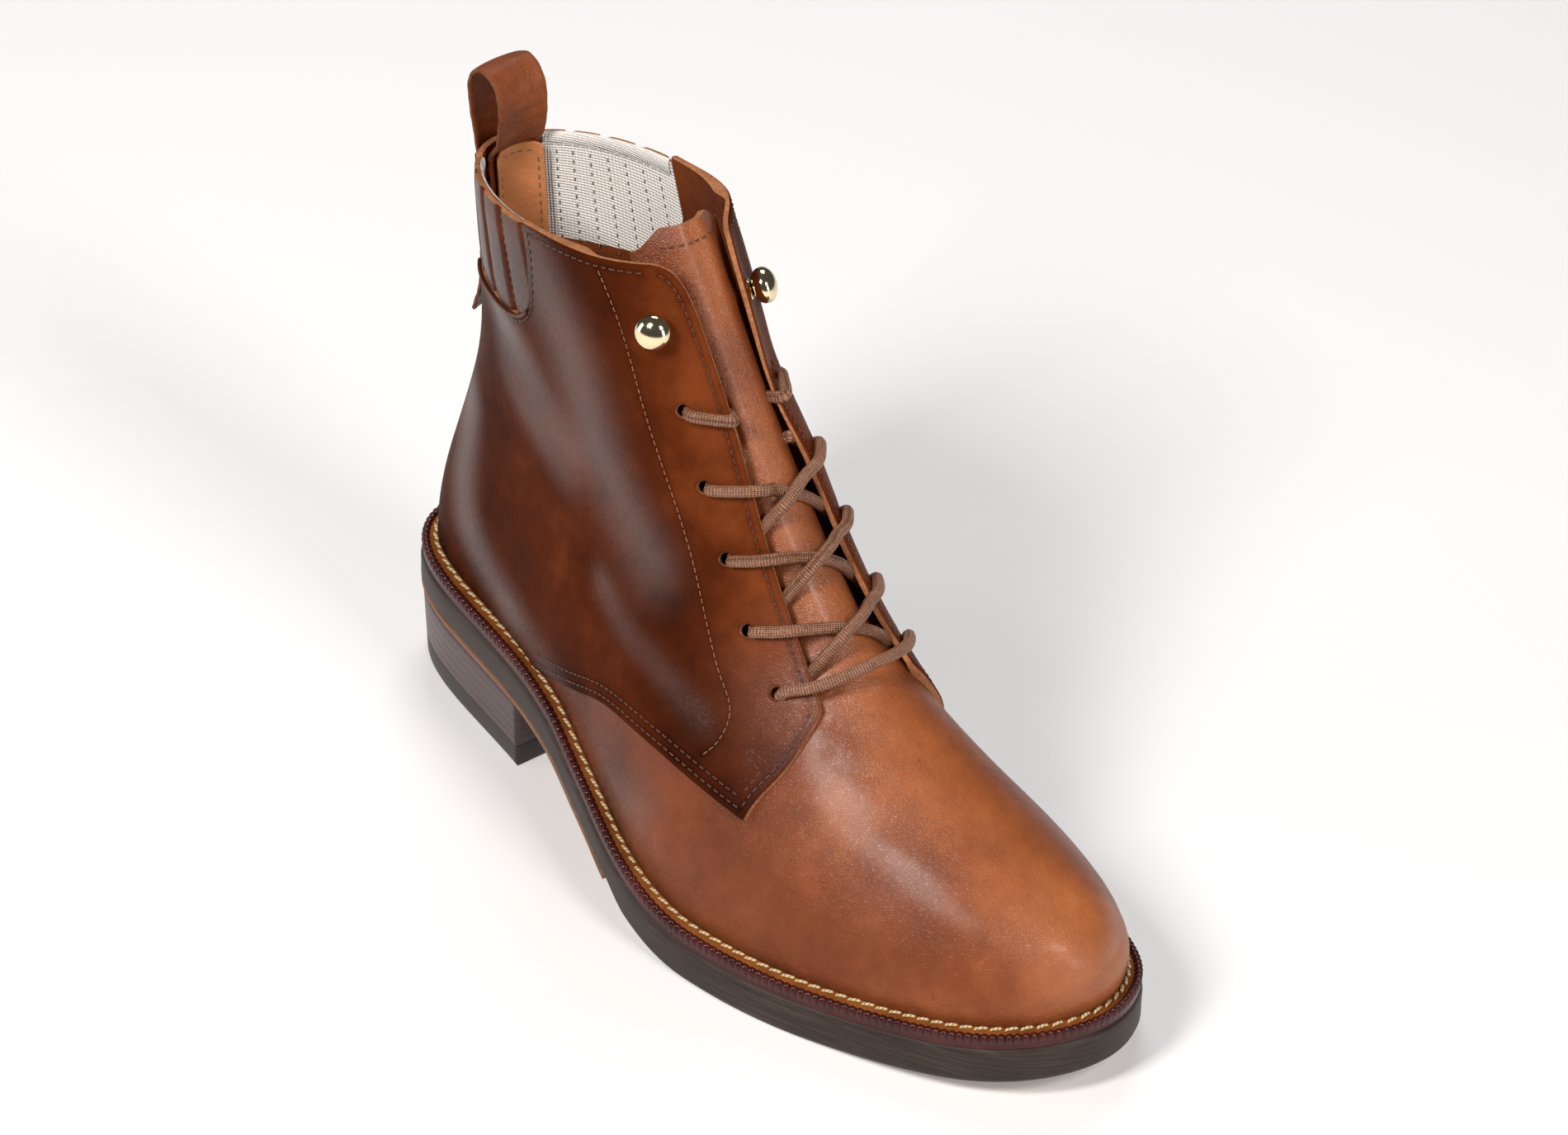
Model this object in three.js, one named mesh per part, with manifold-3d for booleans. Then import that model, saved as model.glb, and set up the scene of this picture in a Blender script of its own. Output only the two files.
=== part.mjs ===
// A lace up ankle boot for the right foot, in millimetres, standing on the floor, toe to +X.
// x is measured from the back of the sole, y from the boot's axis towards the wearer's left,
// z from the floor, until each point is moved to the frame's origin in the middle of the base.
import * as THREE from 'three';
import { mergeVertices } from 'three/addons/utils/BufferGeometryUtils.js';
import Module from 'manifold-3d';

const wasm = await Module();
wasm.setup();

// Driving dimensions
const soleLength = 273.5;
const ballWidth = 99;
const heelHeight = 23.3;
const toeSpring = 7.7;
const soleThickness = 11.1;
const waistLayer = 2.2;
const topPieceHeight = 7;
const heelLength = 70;
const heelTaper = 1.6;
const weltThickness = 4.6;
const weltShelf = 4.7;
const beadWidth = 3.1;
const beadRise = 1.1;
const wall = 2;
const quarterThickness = 1.9;
const facingLift = 0.9;
const collarBackHeight = 169;
const collarFrontHeight = 181.5;
const collarWidth = 53.4;
const insoleThickness = 2.6;
const tongueThickness = 1.8;
const clearance = 0.3;
const seatClearance = 0.6;
const strapClearance = 0.65;
const loopWidth = 16;
const loopHeight = 24;
const strapThickness = 1.6;
const laceRadius = 1.6;
const eyeletHole = 2.6;
const eyeletWall = 0.6;
const studHead = 4.9;
const studStem = 2.6;
const pleatDepth = 1;

// Meshing
const outlineStations = 40;
const upperColumns = 56;
const upperRows = 12;
const lowRowShare = 1.25;
const holeSides = 8;
const studSides = 10;
const laceSides = 6;
const laceSteps = 10;
const strapSteps = 20;

// Edge of the sole: along is a share of the length, lateral and medial of the ball width.
const outlineTable = [
  { along: 0, lateral: 0, medial: 0 },
  { along: 0.03, lateral: 0.172, medial: 0.177 },
  { along: 0.1, lateral: 0.259, medial: 0.281 },
  { along: 0.16, lateral: 0.291, medial: 0.309 },
  { along: 0.24, lateral: 0.327, medial: 0.317 },
  { along: 0.32, lateral: 0.374, medial: 0.307 },
  { along: 0.4, lateral: 0.432, medial: 0.295 },
  { along: 0.48, lateral: 0.505, medial: 0.299 },
  { along: 0.55, lateral: 0.547, medial: 0.329 },
  { along: 0.62, lateral: 0.547, medial: 0.386 },
  { along: 0.7, lateral: 0.513, medial: 0.44 },
  { along: 0.78, lateral: 0.446, medial: 0.453 },
  { along: 0.85, lateral: 0.372, medial: 0.426 },
  { along: 0.91, lateral: 0.297, medial: 0.374 },
  { along: 0.95, lateral: 0.222, medial: 0.313 },
  { along: 0.98, lateral: 0.125, medial: 0.225 },
  { along: 1, lateral: -0.058, medial: 0.058 },
];

// Underside of the sole: heel and spring are shares of the heel height and of the toe spring.
const undersideTable = [
  { along: 0, heel: 1, spring: 0 },
  { along: 0.255, heel: 0.96, spring: 0 },
  { along: 0.32, heel: 0.86, spring: 0 },
  { along: 0.395, heel: 0.52, spring: 0 },
  { along: 0.523, heel: 0.18, spring: 0 },
  { along: 0.62, heel: 0, spring: 0 },
  { along: 0.73, heel: 0, spring: 0 },
  { along: 0.82, heel: 0, spring: 0.13 },
  { along: 0.91, heel: 0, spring: 0.48 },
  { along: 1, heel: 0, spring: 1 },
];

// Rings of the upper from the welt (level 0) to the collar (level 1). back and front are where
// the ring's ends lie along the sole's length, backUp and frontUp their shares of the rise from
// the welt to the collar, lateral and medial the leg's half widths as shares of the collar's.
const ringTable = [
  { level: 0, back: 0.0172, backUp: 0, front: 0.9828, frontUp: 0, lateral: 1.35, medial: 1.35 },
  { level: 0.1, back: 0.0183, backUp: 0.054, front: 0.985, frontUp: 0.064, lateral: 1.29, medial: 1.29 },
  { level: 0.2, back: 0.022, backUp: 0.123, front: 0.96, frontUp: 0.134, lateral: 1.22, medial: 1.23 },
  { level: 0.3, back: 0.03, backUp: 0.208, front: 0.892, frontUp: 0.188, lateral: 1.14, medial: 1.16 },
  { level: 0.4, back: 0.043, backUp: 0.308, front: 0.8, frontUp: 0.248, lateral: 1.08, medial: 1.115 },
  { level: 0.5, back: 0.057, backUp: 0.415, front: 0.705, frontUp: 0.33, lateral: 1.035, medial: 1.08 },
  { level: 0.6, back: 0.0687, backUp: 0.523, front: 0.6215, frontUp: 0.437, lateral: 0.997, medial: 1.04 },
  { level: 0.7, back: 0.0738, backUp: 0.638, front: 0.556, frontUp: 0.56, lateral: 0.981, medial: 1.026 },
  { level: 0.8, back: 0.0724, backUp: 0.762, front: 0.503, frontUp: 0.7, lateral: 0.981, medial: 1.026 },
  { level: 0.9, back: 0.068, backUp: 0.885, front: 0.457, frontUp: 0.848, lateral: 0.989, medial: 1.019 },
  { level: 1, back: 0.065, backUp: 1, front: 0.4077, frontUp: 1, lateral: 0.989, medial: 1.011 },
];

// Front edge of a quarter: from the welt forward to its corner, up to the throat, and along
// the facing to the collar. turn is the angle round a ring from the back, 180 at the front.
const quarterEdge = [
  { row: 0, level: 0.004, turn: 63, backLevel: 0.004 },
  { row: 0.1, level: 0.19, turn: 75, backLevel: 0.09 },
  { row: 0.17, level: 0.285, turn: 90, backLevel: 0.16 },
  { row: 0.24, level: 0.312, turn: 103, backLevel: 0.22 },
  { row: 0.3, level: 0.312, turn: 116, backLevel: 0.28 },
  { row: 0.36, level: 0.39, turn: 128, backLevel: 0.34 },
  { row: 0.42, level: 0.46, turn: 141, backLevel: 0.41 },
  { row: 0.46, level: 0.508, turn: 150, backLevel: 0.45 },
  { row: 0.55, level: 0.6, turn: 155, backLevel: 0.55 },
  { row: 0.65, level: 0.7, turn: 158, backLevel: 0.66 },
  { row: 0.75, level: 0.8, turn: 160, backLevel: 0.77 },
  { row: 0.86, level: 0.9, turn: 159.5, backLevel: 0.88 },
  { row: 0.95, level: 0.972, turn: 157, backLevel: 0.965 },
  { row: 1, level: 0.996, turn: 149, backLevel: 0.996 },
];

// Eyelets on each facing, from the throat up, and the stud above them.
const eyeletTable = [
  { level: 0.515, turn: 138.5 },
  { level: 0.583, turn: 137.5 },
  { level: 0.668, turn: 139.5 },
  { level: 0.752, turn: 140.5 },
  { level: 0.838, turn: 141 },
];
const studPlace = { level: 0.936, turn: 140.5 };

// Lower edge of a gore, from the back strip round to the collar.
const goreEdge = [
  { turn: 25, level: 0.8 },
  { turn: 36, level: 0.802 },
  { turn: 48, level: 0.808 },
  { turn: 62, level: 0.82 },
  { turn: 74, level: 0.842 },
  { turn: 80, level: 0.87 },
  { turn: 84, level: 0.93 },
];
const pleats = 4;

const lateral = -1;
const medial = 1;
const radians = Math.PI / 180;

// A natural cubic spline through (xs, ys).
function naturalSpline(xs, ys) {
  const count = xs.length;
  const diagonal = new Array(count).fill(1);
  const upperBand = new Array(count).fill(0);
  const moment = new Array(count).fill(0);
  for (let i = 1; i < count - 1; i++) {
    const before = xs[i] - xs[i - 1];
    const after = xs[i + 1] - xs[i];
    const bend = 6 * ((ys[i + 1] - ys[i]) / after - (ys[i] - ys[i - 1]) / before);
    diagonal[i] = 2 * (before + after) - before * upperBand[i - 1];
    upperBand[i] = after / diagonal[i];
    moment[i] = (bend - before * moment[i - 1]) / diagonal[i];
  }
  moment[count - 1] = 0;
  for (let i = count - 2; i > 0; i--) {
    moment[i] -= upperBand[i] * moment[i + 1];
  }
  return (x) => {
    let i = 0;
    while (i < count - 2 && x > xs[i + 1]) {
      i += 1;
    }
    const width = xs[i + 1] - xs[i];
    const a = (xs[i + 1] - x) / width;
    const b = (x - xs[i]) / width;
    const curve = (a ** 3 - a) * moment[i] + (b ** 3 - b) * moment[i + 1];
    return a * ys[i] + b * ys[i + 1] + (curve * width * width) / 6;
  };
}

// Straight lines through (xs, ys), level beyond the ends.
function straightLines(xs, ys) {
  return (x) => {
    if (x <= xs[0]) {
      return ys[0];
    }
    let i = 0;
    while (i < xs.length - 2 && x > xs[i + 1]) {
      i += 1;
    }
    const share = Math.min(1, (x - xs[i]) / (xs[i + 1] - xs[i]));
    return ys[i] + (ys[i + 1] - ys[i]) * share;
  };
}

function column(table, name, scale = 1) {
  return table.map((row) => row[name] * scale);
}

function smooth(value, from, to) {
  const share = Math.min(1, Math.max(0, (value - from) / (to - from)));
  return share * share * (3 - 2 * share);
}

// Sole: outline, underside and the levels that follow it
const outlineAngles = outlineTable.map((row) => Math.acos(1 - 2 * row.along));
const lateralEdge = naturalSpline(outlineAngles, column(outlineTable, 'lateral', ballWidth));
const medialEdge = naturalSpline(outlineAngles, column(outlineTable, 'medial', ballWidth));

// A smooth line through the underside's rows that never overshoots them.
function monotoneLine(xs, ys) {
  const slopes = xs.map((_, i) => {
    if (i === 0 || i === xs.length - 1) {
      return 0;
    }
    const before = (ys[i] - ys[i - 1]) / (xs[i] - xs[i - 1]);
    const after = (ys[i + 1] - ys[i]) / (xs[i + 1] - xs[i]);
    return before * after <= 0 ? 0 : (2 * before * after) / (before + after);
  });
  const last = xs.length - 1;
  slopes[last] = (1.5 * (ys[last] - ys[last - 1])) / (xs[last] - xs[last - 1]) - slopes[last - 1] / 2;
  return (x) => {
    const inside = Math.min(xs[last], Math.max(xs[0], x));
    let i = 0;
    while (i < last - 1 && inside > xs[i + 1]) {
      i += 1;
    }
    const width = xs[i + 1] - xs[i];
    const t = (inside - xs[i]) / width;
    const rise = ys[i] * (1 + 2 * t) * (1 - t) ** 2 + ys[i + 1] * t * t * (3 - 2 * t);
    return rise + width * (slopes[i] * t * (1 - t) ** 2 - slopes[i + 1] * t * t * (1 - t));
  };
}

const undersideHeights = undersideTable.map((row) => row.heel * heelHeight + row.spring * toeSpring);
const underside = monotoneLine(column(undersideTable, 'along', soleLength), undersideHeights);
const soleTop = (x) => underside(x) + soleThickness;
const weltTop = (x) => soleTop(x) + weltThickness;

// The sole's edge moved inwards, as one loop: lateral side to the toe, medial side back.
function outline(inset, stations) {
  const loop = [];
  for (let i = 0; i <= stations; i++) {
    const angle = (Math.PI * i) / stations;
    loop.push([(soleLength * (1 - Math.cos(angle))) / 2, -lateralEdge(angle)]);
  }
  for (let i = stations - 1; i > 0; i--) {
    const angle = (Math.PI * i) / stations;
    loop.push([(soleLength * (1 - Math.cos(angle))) / 2, medialEdge(angle)]);
  }
  const count = loop.length;
  return loop.map(([x, y], i) => {
    const before = loop[(i + count - 1) % count];
    const after = loop[(i + 1) % count];
    const length = Math.hypot(after[0] - before[0], after[1] - before[1]);
    const inwardX = -(after[1] - before[1]) / length;
    const inwardY = (after[0] - before[0]) / length;
    return [x + inwardX * inset, y + inwardY * inset];
  });
}

const fineStations = 160;
const fineEdge = outline(0, fineStations);
const widest = Math.max(...fineEdge.map((point) => point[1]));
const narrowest = Math.min(...fineEdge.map((point) => point[1]));
const toFrameX = -soleLength / 2;
const toFrameY = -(widest + narrowest) / 2;

// Half width of the upper's lower edge at x, on either side
const feather = outline(weltShelf, fineStations);
const featherLateral = feather.slice(0, fineStations + 1);
const featherMedial = [feather[0], ...feather.slice(fineStations).reverse()];
const featherHalf = {
  [lateral]: straightLines(
    featherLateral.map((point) => point[0]),
    featherLateral.map((point) => -point[1]),
  ),
  [medial]: straightLines(
    featherMedial.map((point) => point[0]),
    featherMedial.map((point) => point[1]),
  ),
};
const featherBack = weltShelf;
const featherToe = soleLength - weltShelf;
const toeLean = feather[fineStations][1];

// Upper: rings from the welt to the collar
const levels = column(ringTable, 'level');
const ringBack = naturalSpline(levels, column(ringTable, 'back', soleLength));
const ringFront = naturalSpline(levels, column(ringTable, 'front', soleLength));
const ringLateral = naturalSpline(levels, column(ringTable, 'lateral', collarWidth / 2));
const ringMedial = naturalSpline(levels, column(ringTable, 'medial', collarWidth / 2));
const backRise = collarBackHeight - weltTop(featherBack);
const frontRise = collarFrontHeight - weltTop(featherToe);
const backShare = naturalSpline(levels, column(ringTable, 'backUp', backRise));
const frontShare = naturalSpline(levels, column(ringTable, 'frontUp', frontRise));
const ringBackHeight = (level) => weltTop(featherBack) + backShare(level);
const ringFrontHeight = (level) => weltTop(featherToe) + frontShare(level);

// The ridge of the vamp and the shin, as a height over x, going on straight above the collar
const ridgeSteps = 300;
const ridgePoints = [];
for (let i = ridgeSteps; i >= 0; i--) {
  const level = i / ridgeSteps;
  const x = ringFront(level);
  if (ridgePoints.length === 0 || x > ridgePoints[ridgePoints.length - 1][0]) {
    ridgePoints.push([x, ringFrontHeight(level)]);
  }
}
const ridgeLine = straightLines(
  ridgePoints.map((point) => point[0]),
  ridgePoints.map((point) => point[1]),
);
const shinSample = 6;
const shinSlope =
  (ridgePoints[0][1] - ridgePoints[shinSample][1]) / (ridgePoints[0][0] - ridgePoints[shinSample][0]);

function ridge(x) {
  const [topX, topZ] = ridgePoints[0];
  return x < topX ? topZ + shinSlope * (x - topX) : ridgeLine(x);
}

// Roundness across the vamp, and where the foot's form gives way to the leg's
const instepRoundness = 1.8;
const toeRoundness = 2.4;
const roundFrom = 0.6 * soleLength;
const roundTo = 0.9 * soleLength;
const vampBulge = 0.03;
const leanFrom = 0.73 * soleLength;
const legFrom = 0.1;
const legTo = 0.75;
const levelRings = 0.8;

// A point of the last's surface: turn is in radians from the back, over the lateral side.
function lastPoint(level, turn) {
  const side = Math.sin(turn) >= 0 ? lateral : medial;
  const along = (1 - Math.cos(turn)) / 2;
  const back = ringBack(level);
  const front = ringFront(level);
  const x = back + (front - back) * along;
  const rings = smooth(level, 0, levelRings);
  const lowEdge = weltTop(x);
  const backGap = ringBackHeight(level) - weltTop(back);
  const frontGap = ringFrontHeight(level) - weltTop(front);
  const followed = lowEdge + backGap + (frontGap - backGap) * along;
  const straight = ringBackHeight(level) + (ringFrontHeight(level) - ringBackHeight(level)) * along;
  const z = (1 - rings) * followed + rings * straight;
  const up = Math.min(1, Math.max(0, (z - lowEdge) / Math.max(ridge(x) - lowEdge, 0.001)));
  const towardsToe = Math.min(1, Math.max(0, (x - roundFrom) / (roundTo - roundFrom)));
  const power = instepRoundness + (toeRoundness - instepRoundness) * towardsToe;
  const swell = 1 + vampBulge * Math.sin(Math.PI * Math.min(1, 1.5 * up));
  const across = (1 - up ** power) ** (1 / power) * swell;
  const past = Math.max(front, featherToe) - featherToe;
  const shifted = x - (back - featherBack) * (1 - along) ** 2 - past * along;
  const leanShare = Math.min(1, Math.max(0, (shifted - leanFrom) / (featherToe - leanFrom)));
  const centre = toeLean * leanShare * leanShare;
  const foot = centre + side * (featherHalf[side](shifted) - side * centre) * across;
  const half = side === lateral ? ringLateral(level) : ringMedial(level);
  const leg = side * half * Math.abs(Math.sin(turn));
  const legShare = smooth(level, legFrom, legTo);
  return new THREE.Vector3(x, (1 - legShare) * foot + legShare * leg, z);
}

const probe = 0.004;

function lastNormal(level, turn) {
  const low = Math.max(0, level - probe);
  const upwards = lastPoint(low + 2 * probe, turn).sub(lastPoint(low, turn));
  const round = lastPoint(level, turn + probe * 8).sub(lastPoint(level, turn - probe * 8));
  return upwards.cross(round).normalize().negate();
}

function surfacePoint(level, turn, offset = 0) {
  return lastPoint(level, turn).addScaledVector(lastNormal(level, turn), offset);
}

// Closed meshes
function toGeometry(points, triangles) {
  const geometry = new THREE.BufferGeometry();
  const flat = points.flatMap((p) => [p.x + toFrameX, p.y + toFrameY, p.z]);
  geometry.setAttribute('position', new THREE.Float32BufferAttribute(flat, 3));
  geometry.setIndex(triangles.flat());
  return geometry;
}

function signedVolume(points, triangles) {
  const cross = new THREE.Vector3();
  return triangles.reduce(
    (sum, [a, b, c]) => sum + points[a].dot(cross.crossVectors(points[b], points[c])),
    0,
  );
}

function closedGeometry(points, triangles) {
  const turned = signedVolume(points, triangles) < 0;
  return toGeometry(points, turned ? triangles.map(([a, b, c]) => [a, c, b]) : triangles);
}

// Rings of equal length stacked from bottom to top, capped by rungs across each end ring. A ring
// runs out along one side and back along the other, so point i faces point count - i.
function stackedRings(rings) {
  const count = rings[0].length;
  const points = rings.flat();
  const triangles = [];
  for (let r = 0; r < rings.length - 1; r++) {
    for (let i = 0; i < count; i++) {
      const next = (i + 1) % count;
      const a = r * count;
      const b = a + count;
      triangles.push([a + i, a + next, b + next], [a + i, b + next, b + i]);
    }
  }
  [0, (rings.length - 1) * count].forEach((start) => {
    for (let i = 0; i < Math.floor(count / 2); i++) {
      const across = (count - i) % count;
      const nextAcross = count - i - 1;
      const faces = [
        [start + i, start + i + 1, start + nextAcross],
        [start + i, start + nextAcross, start + across],
      ].filter((face) => new Set(face).size === 3);
      triangles.push(...(start === 0 ? faces.map(([a, b, c]) => [a, c, b]) : faces));
    }
  });
  return closedGeometry(points, triangles);
}

// A closed section carried round a closed loop: sections[i] is the section at station i.
function ringTube(sections) {
  const count = sections.length;
  const size = sections[0].length;
  const points = sections.flat();
  const triangles = [];
  for (let i = 0; i < count; i++) {
    const here = i * size;
    const there = ((i + 1) % count) * size;
    for (let j = 0; j < size; j++) {
      const next = (j + 1) % size;
      triangles.push([here + j, there + j, there + next], [here + j, there + next, here + next]);
    }
  }
  return closedGeometry(points, triangles);
}

// A sheet with thickness: place(row, col) gives level and turn, offsets lie along the normal.
function sheet(rows, cols, place, outer, inner) {
  const points = [];
  [outer, inner].forEach((offset) => {
    for (let r = 0; r < rows; r++) {
      for (let c = 0; c < cols; c++) {
        const { level, turn } = place(r / (rows - 1), c / (cols - 1));
        points.push(surfacePoint(level, turn, offset(level, turn)));
      }
    }
  });
  const under = rows * cols;
  const triangles = [];
  for (let r = 0; r < rows - 1; r++) {
    for (let c = 0; c < cols - 1; c++) {
      const a = r * cols + c;
      const b = a + 1;
      const d = a + cols;
      const e = d + 1;
      triangles.push([a, b, e], [a, e, d]);
      triangles.push([under + a, under + e, under + b], [under + a, under + d, under + e]);
    }
  }
  const border = [];
  for (let c = 0; c < cols - 1; c++) {
    border.push(c);
  }
  for (let r = 0; r < rows - 1; r++) {
    border.push(r * cols + cols - 1);
  }
  for (let c = cols - 1; c > 0; c--) {
    border.push((rows - 1) * cols + c);
  }
  for (let r = rows - 1; r > 0; r--) {
    border.push(r * cols);
  }
  border.forEach((a, i) => {
    const b = border[(i + 1) % border.length];
    triangles.push([a, under + b, b], [a, under + a, under + b]);
  });
  return closedGeometry(points, triangles);
}

function toSolid(geometry) {
  const bare = geometry.clone();
  bare.deleteAttribute('normal');
  bare.deleteAttribute('uv');
  const merged = mergeVertices(bare, 0.0001);
  return new wasm.Manifold(
    new wasm.Mesh({
      numProp: 3,
      vertProperties: new Float32Array(merged.attributes.position.array),
      triVerts: new Uint32Array(merged.index.array),
    }),
  );
}

function fromSolid(solid) {
  const mesh = solid.getMesh();
  const geometry = new THREE.BufferGeometry();
  geometry.setAttribute('position', new THREE.BufferAttribute(mesh.vertProperties, 3));
  geometry.setIndex(new THREE.BufferAttribute(mesh.triVerts, 1));
  return geometry;
}

// Pieces of the boot
const boot = new THREE.Group();
boot.name = 'ankle_boot';

function leather(color, roughness) {
  return new THREE.MeshStandardMaterial({ color, roughness, metalness: 0 });
}

const materials = {
  upper: leather(0x7d3f1d, 0.35),
  tongue: leather(0x94481c, 0.3),
  lining: leather(0xb27546, 0.7),
  elastic: leather(0xdedad2, 0.9),
  sole: leather(0x3a2c29, 0.55),
  waist: leather(0x7b5540, 0.6),
  heel: leather(0x46302b, 0.5),
  rubber: leather(0x1d1a1a, 0.6),
  welt: leather(0x9a5414, 0.45),
  bead: leather(0x3b1315, 0.25),
  lace: leather(0x6d452f, 0.6),
  eyelet: leather(0x101010, 0.2),
  gold: new THREE.MeshStandardMaterial({ color: 0xd9c48a, roughness: 0.15, metalness: 1 }),
};

function add(name, geometry, material) {
  const mesh = new THREE.Mesh(geometry, material);
  mesh.name = name;
  boot.add(mesh);
}

// Sole, waist layer, heel and top piece
function soleRing(inset, height) {
  return outline(inset, outlineStations).map(([x, y]) => new THREE.Vector3(x, y, height(x)));
}

const waistEnd = 0.475 * soleLength;
const waistFade = 0.05 * soleLength;
const waistBevel = 0.8;
const waistTop = (x) => underside(x) + waistLayer * (1 - smooth(x, waistEnd, waistEnd + waistFade));

add(
  'outsole',
  stackedRings([
    soleRing(waistBevel, (x) => waistTop(x)),
    soleRing(0, (x) => waistTop(x) + waistBevel),
    soleRing(0, (x) => soleTop(x) - waistBevel),
    soleRing(waistBevel / 2, soleTop),
  ]),
  materials.sole,
);

// The part of a sole ring behind x = end, closed straight across there.
function rearRing(inset, end, stations, height) {
  const fine = outline(inset, fineStations);
  const sides = [fine.slice(0, fineStations + 1), [fine[0], ...fine.slice(fineStations).reverse()]];
  const [lateralY, medialY] = sides.map((side) =>
    straightLines(
      side.map((point) => point[0]),
      side.map((point) => point[1]),
    ),
  );
  const ring = [];
  const place = (i) => inset + (end - inset) * (1 - Math.cos((Math.PI * i) / (2 * stations)));
  for (let i = 0; i <= stations; i++) {
    ring.push(new THREE.Vector3(place(i), lateralY(place(i)), height(place(i))));
  }
  for (let i = stations; i > 0; i--) {
    ring.push(new THREE.Vector3(place(i), medialY(place(i)), height(place(i))));
  }
  return ring;
}

const heelStations = 14;
const waistStations = 24;
const waistTip = 0.4;
add(
  'waist_sole',
  stackedRings([
    rearRing(waistBevel, waistEnd, waistStations, underside),
    rearRing(waistBevel / 2, waistEnd, waistStations, (x) => {
      const thickness = waistLayer - seatClearance;
      return underside(x) + thickness * (1 - (1 - waistTip) * smooth(x, waistEnd - waistFade, waistEnd));
    }),
  ]),
  materials.waist,
);

const heelTopInset = 0.6;
const heelRing = (inset, height) => rearRing(inset, heelLength - inset * 0.4, heelStations, height);
const heelInsetAt = (z) => heelTopInset + heelTaper * (1 - z / heelHeight);
add(
  'heel_stack',
  stackedRings([
    heelRing(heelInsetAt(topPieceHeight), () => topPieceHeight),
    heelRing(heelTopInset, (x) => underside(x) - clearance),
  ]),
  materials.heel,
);
add(
  'heel_top_piece',
  stackedRings([
    heelRing(heelInsetAt(0), () => 0),
    heelRing(heelInsetAt(topPieceHeight), () => topPieceHeight - clearance),
  ]),
  materials.rubber,
);

// Welt and bead, as sections carried round the sole's edge
function edgeTube(section) {
  const loops = section.map(({ inset }) => outline(inset, outlineStations));
  const stations = loops[0].map((_, i) =>
    section.map(({ up }, j) => {
      const [x, y] = loops[j][i];
      return new THREE.Vector3(x, y, soleTop(x) + up);
    }),
  );
  return ringTube(stations);
}

const weltLedge = 1.6;
const weltInner = weltShelf + wall + weltLedge;
const strapInset = beadWidth + clearance;
add(
  'welt',
  edgeTube([
    { inset: strapInset, up: clearance },
    { inset: weltInner, up: clearance },
    { inset: weltInner, up: weltThickness },
    { inset: strapInset, up: weltThickness },
  ]),
  materials.welt,
);
const beadRound = 0.9;
add(
  'welt_bead',
  edgeTube([
    { inset: 0, up: clearance },
    { inset: beadWidth, up: clearance },
    { inset: beadWidth, up: weltThickness + beadRise / 2 },
    { inset: beadWidth - beadRound, up: weltThickness + beadRise },
    { inset: beadRound, up: weltThickness + beadRise },
    { inset: 0, up: weltThickness + beadRise - 1.5 * beadRound },
  ]),
  materials.bead,
);

// Insole: a plug inside the welt and a wider board on top of it
const plugInset = weltInner + clearance;
const boardInset = weltShelf + wall + seatClearance + 0.2;
const boardLow = weltThickness + clearance;
add(
  'insole',
  stackedRings([
    soleRing(plugInset, (x) => soleTop(x) + clearance),
    soleRing(plugInset, (x) => soleTop(x) + boardLow),
    soleRing(boardInset, (x) => soleTop(x) + boardLow + clearance),
    soleRing(boardInset, (x) => soleTop(x) + boardLow + insoleThickness),
  ]),
  materials.lining,
);

// Upper: a wall all round, two quarters over it, and a space cut for the tongue
function upperWall() {
  const sides = [0, -wall].map((offset) => {
    const rings = [];
    for (let r = 0; r < upperRows; r++) {
      const level = (r / (upperRows - 1)) ** lowRowShare;
      const ring = [];
      for (let c = 0; c < upperColumns; c++) {
        const point = surfacePoint(level, (2 * Math.PI * c) / upperColumns, offset);
        if (r === 0) {
          point.z = weltTop(point.x) + seatClearance;
        }
        ring.push(point);
      }
      rings.push(ring);
    }
    return rings;
  });
  const loops = [...sides[0], ...sides[1].reverse()];
  const stations = [];
  for (let c = 0; c < upperColumns; c++) {
    stations.push(loops.map((ring) => ring[c]));
  }
  return ringTube(stations);
}

// Where a quarter leaves the back's surface, low on the vamp and at the shaft, in degrees
const stepStartLow = 42;
const stepStartHigh = 90;
const stepRun = 30;
const facingFrom = 108;
const facingTo = 132;

// How far a quarter stands off the last: flush at the back, a step over the vamp and the tongue
function quarterLift(level, turn) {
  const degrees = (turn > Math.PI ? 2 * Math.PI - turn : turn) / radians;
  const start = stepStartLow + (stepStartHigh - stepStartLow) * smooth(level, 0.3, 0.6);
  const step = quarterThickness * smooth(degrees, start, start + stepRun);
  const facing = facingLift * smooth(degrees, facingFrom, facingTo) * smooth(level, 0.42, 0.52);
  return step + facing;
}

// How deep a quarter's flush part is sunk into the wall, so that the two are one solid
const sunk = 0.7;
const quarterTurnStart = 44;
const rowBend = 1.15;
const quarterColumns = 9;
const quarterRows = quarterEdge.length;

function quarterSheet(side) {
  const start = quarterTurnStart * radians;
  return sheet(
    quarterRows,
    quarterColumns,
    (row, col) => {
      const edge = quarterEdge[Math.round(row * (quarterRows - 1))];
      const share = 1 - (1 - col) ** rowBend;
      const turn = start + (edge.turn * radians - start) * share;
      const level = edge.backLevel + (edge.level - edge.backLevel) * share;
      return { level, turn: side === lateral ? turn : 2 * Math.PI - turn };
    },
    (level, turn) => quarterLift(level, turn) - sunk * (1 - smooth(quarterLift(level, turn), 0, sunk)),
    () => -wall / 2,
  );
}

// The tongue's edge in degrees, the margin round it, and the levels of its foot and its top
const tongueTurn = 125;
const tongueSpace = 1.6;
const tongueLow = 0.516;
const throatLow = 0.5135;
const tongueTop = 1.02;
const aboveCollar = 1.06;
const deepCut = 9;
const tongueEdgeDip = 1.4;
const tongueTopDip = 9.5;
const tongueRows = 11;
const tongueColumns = 11;

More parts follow.
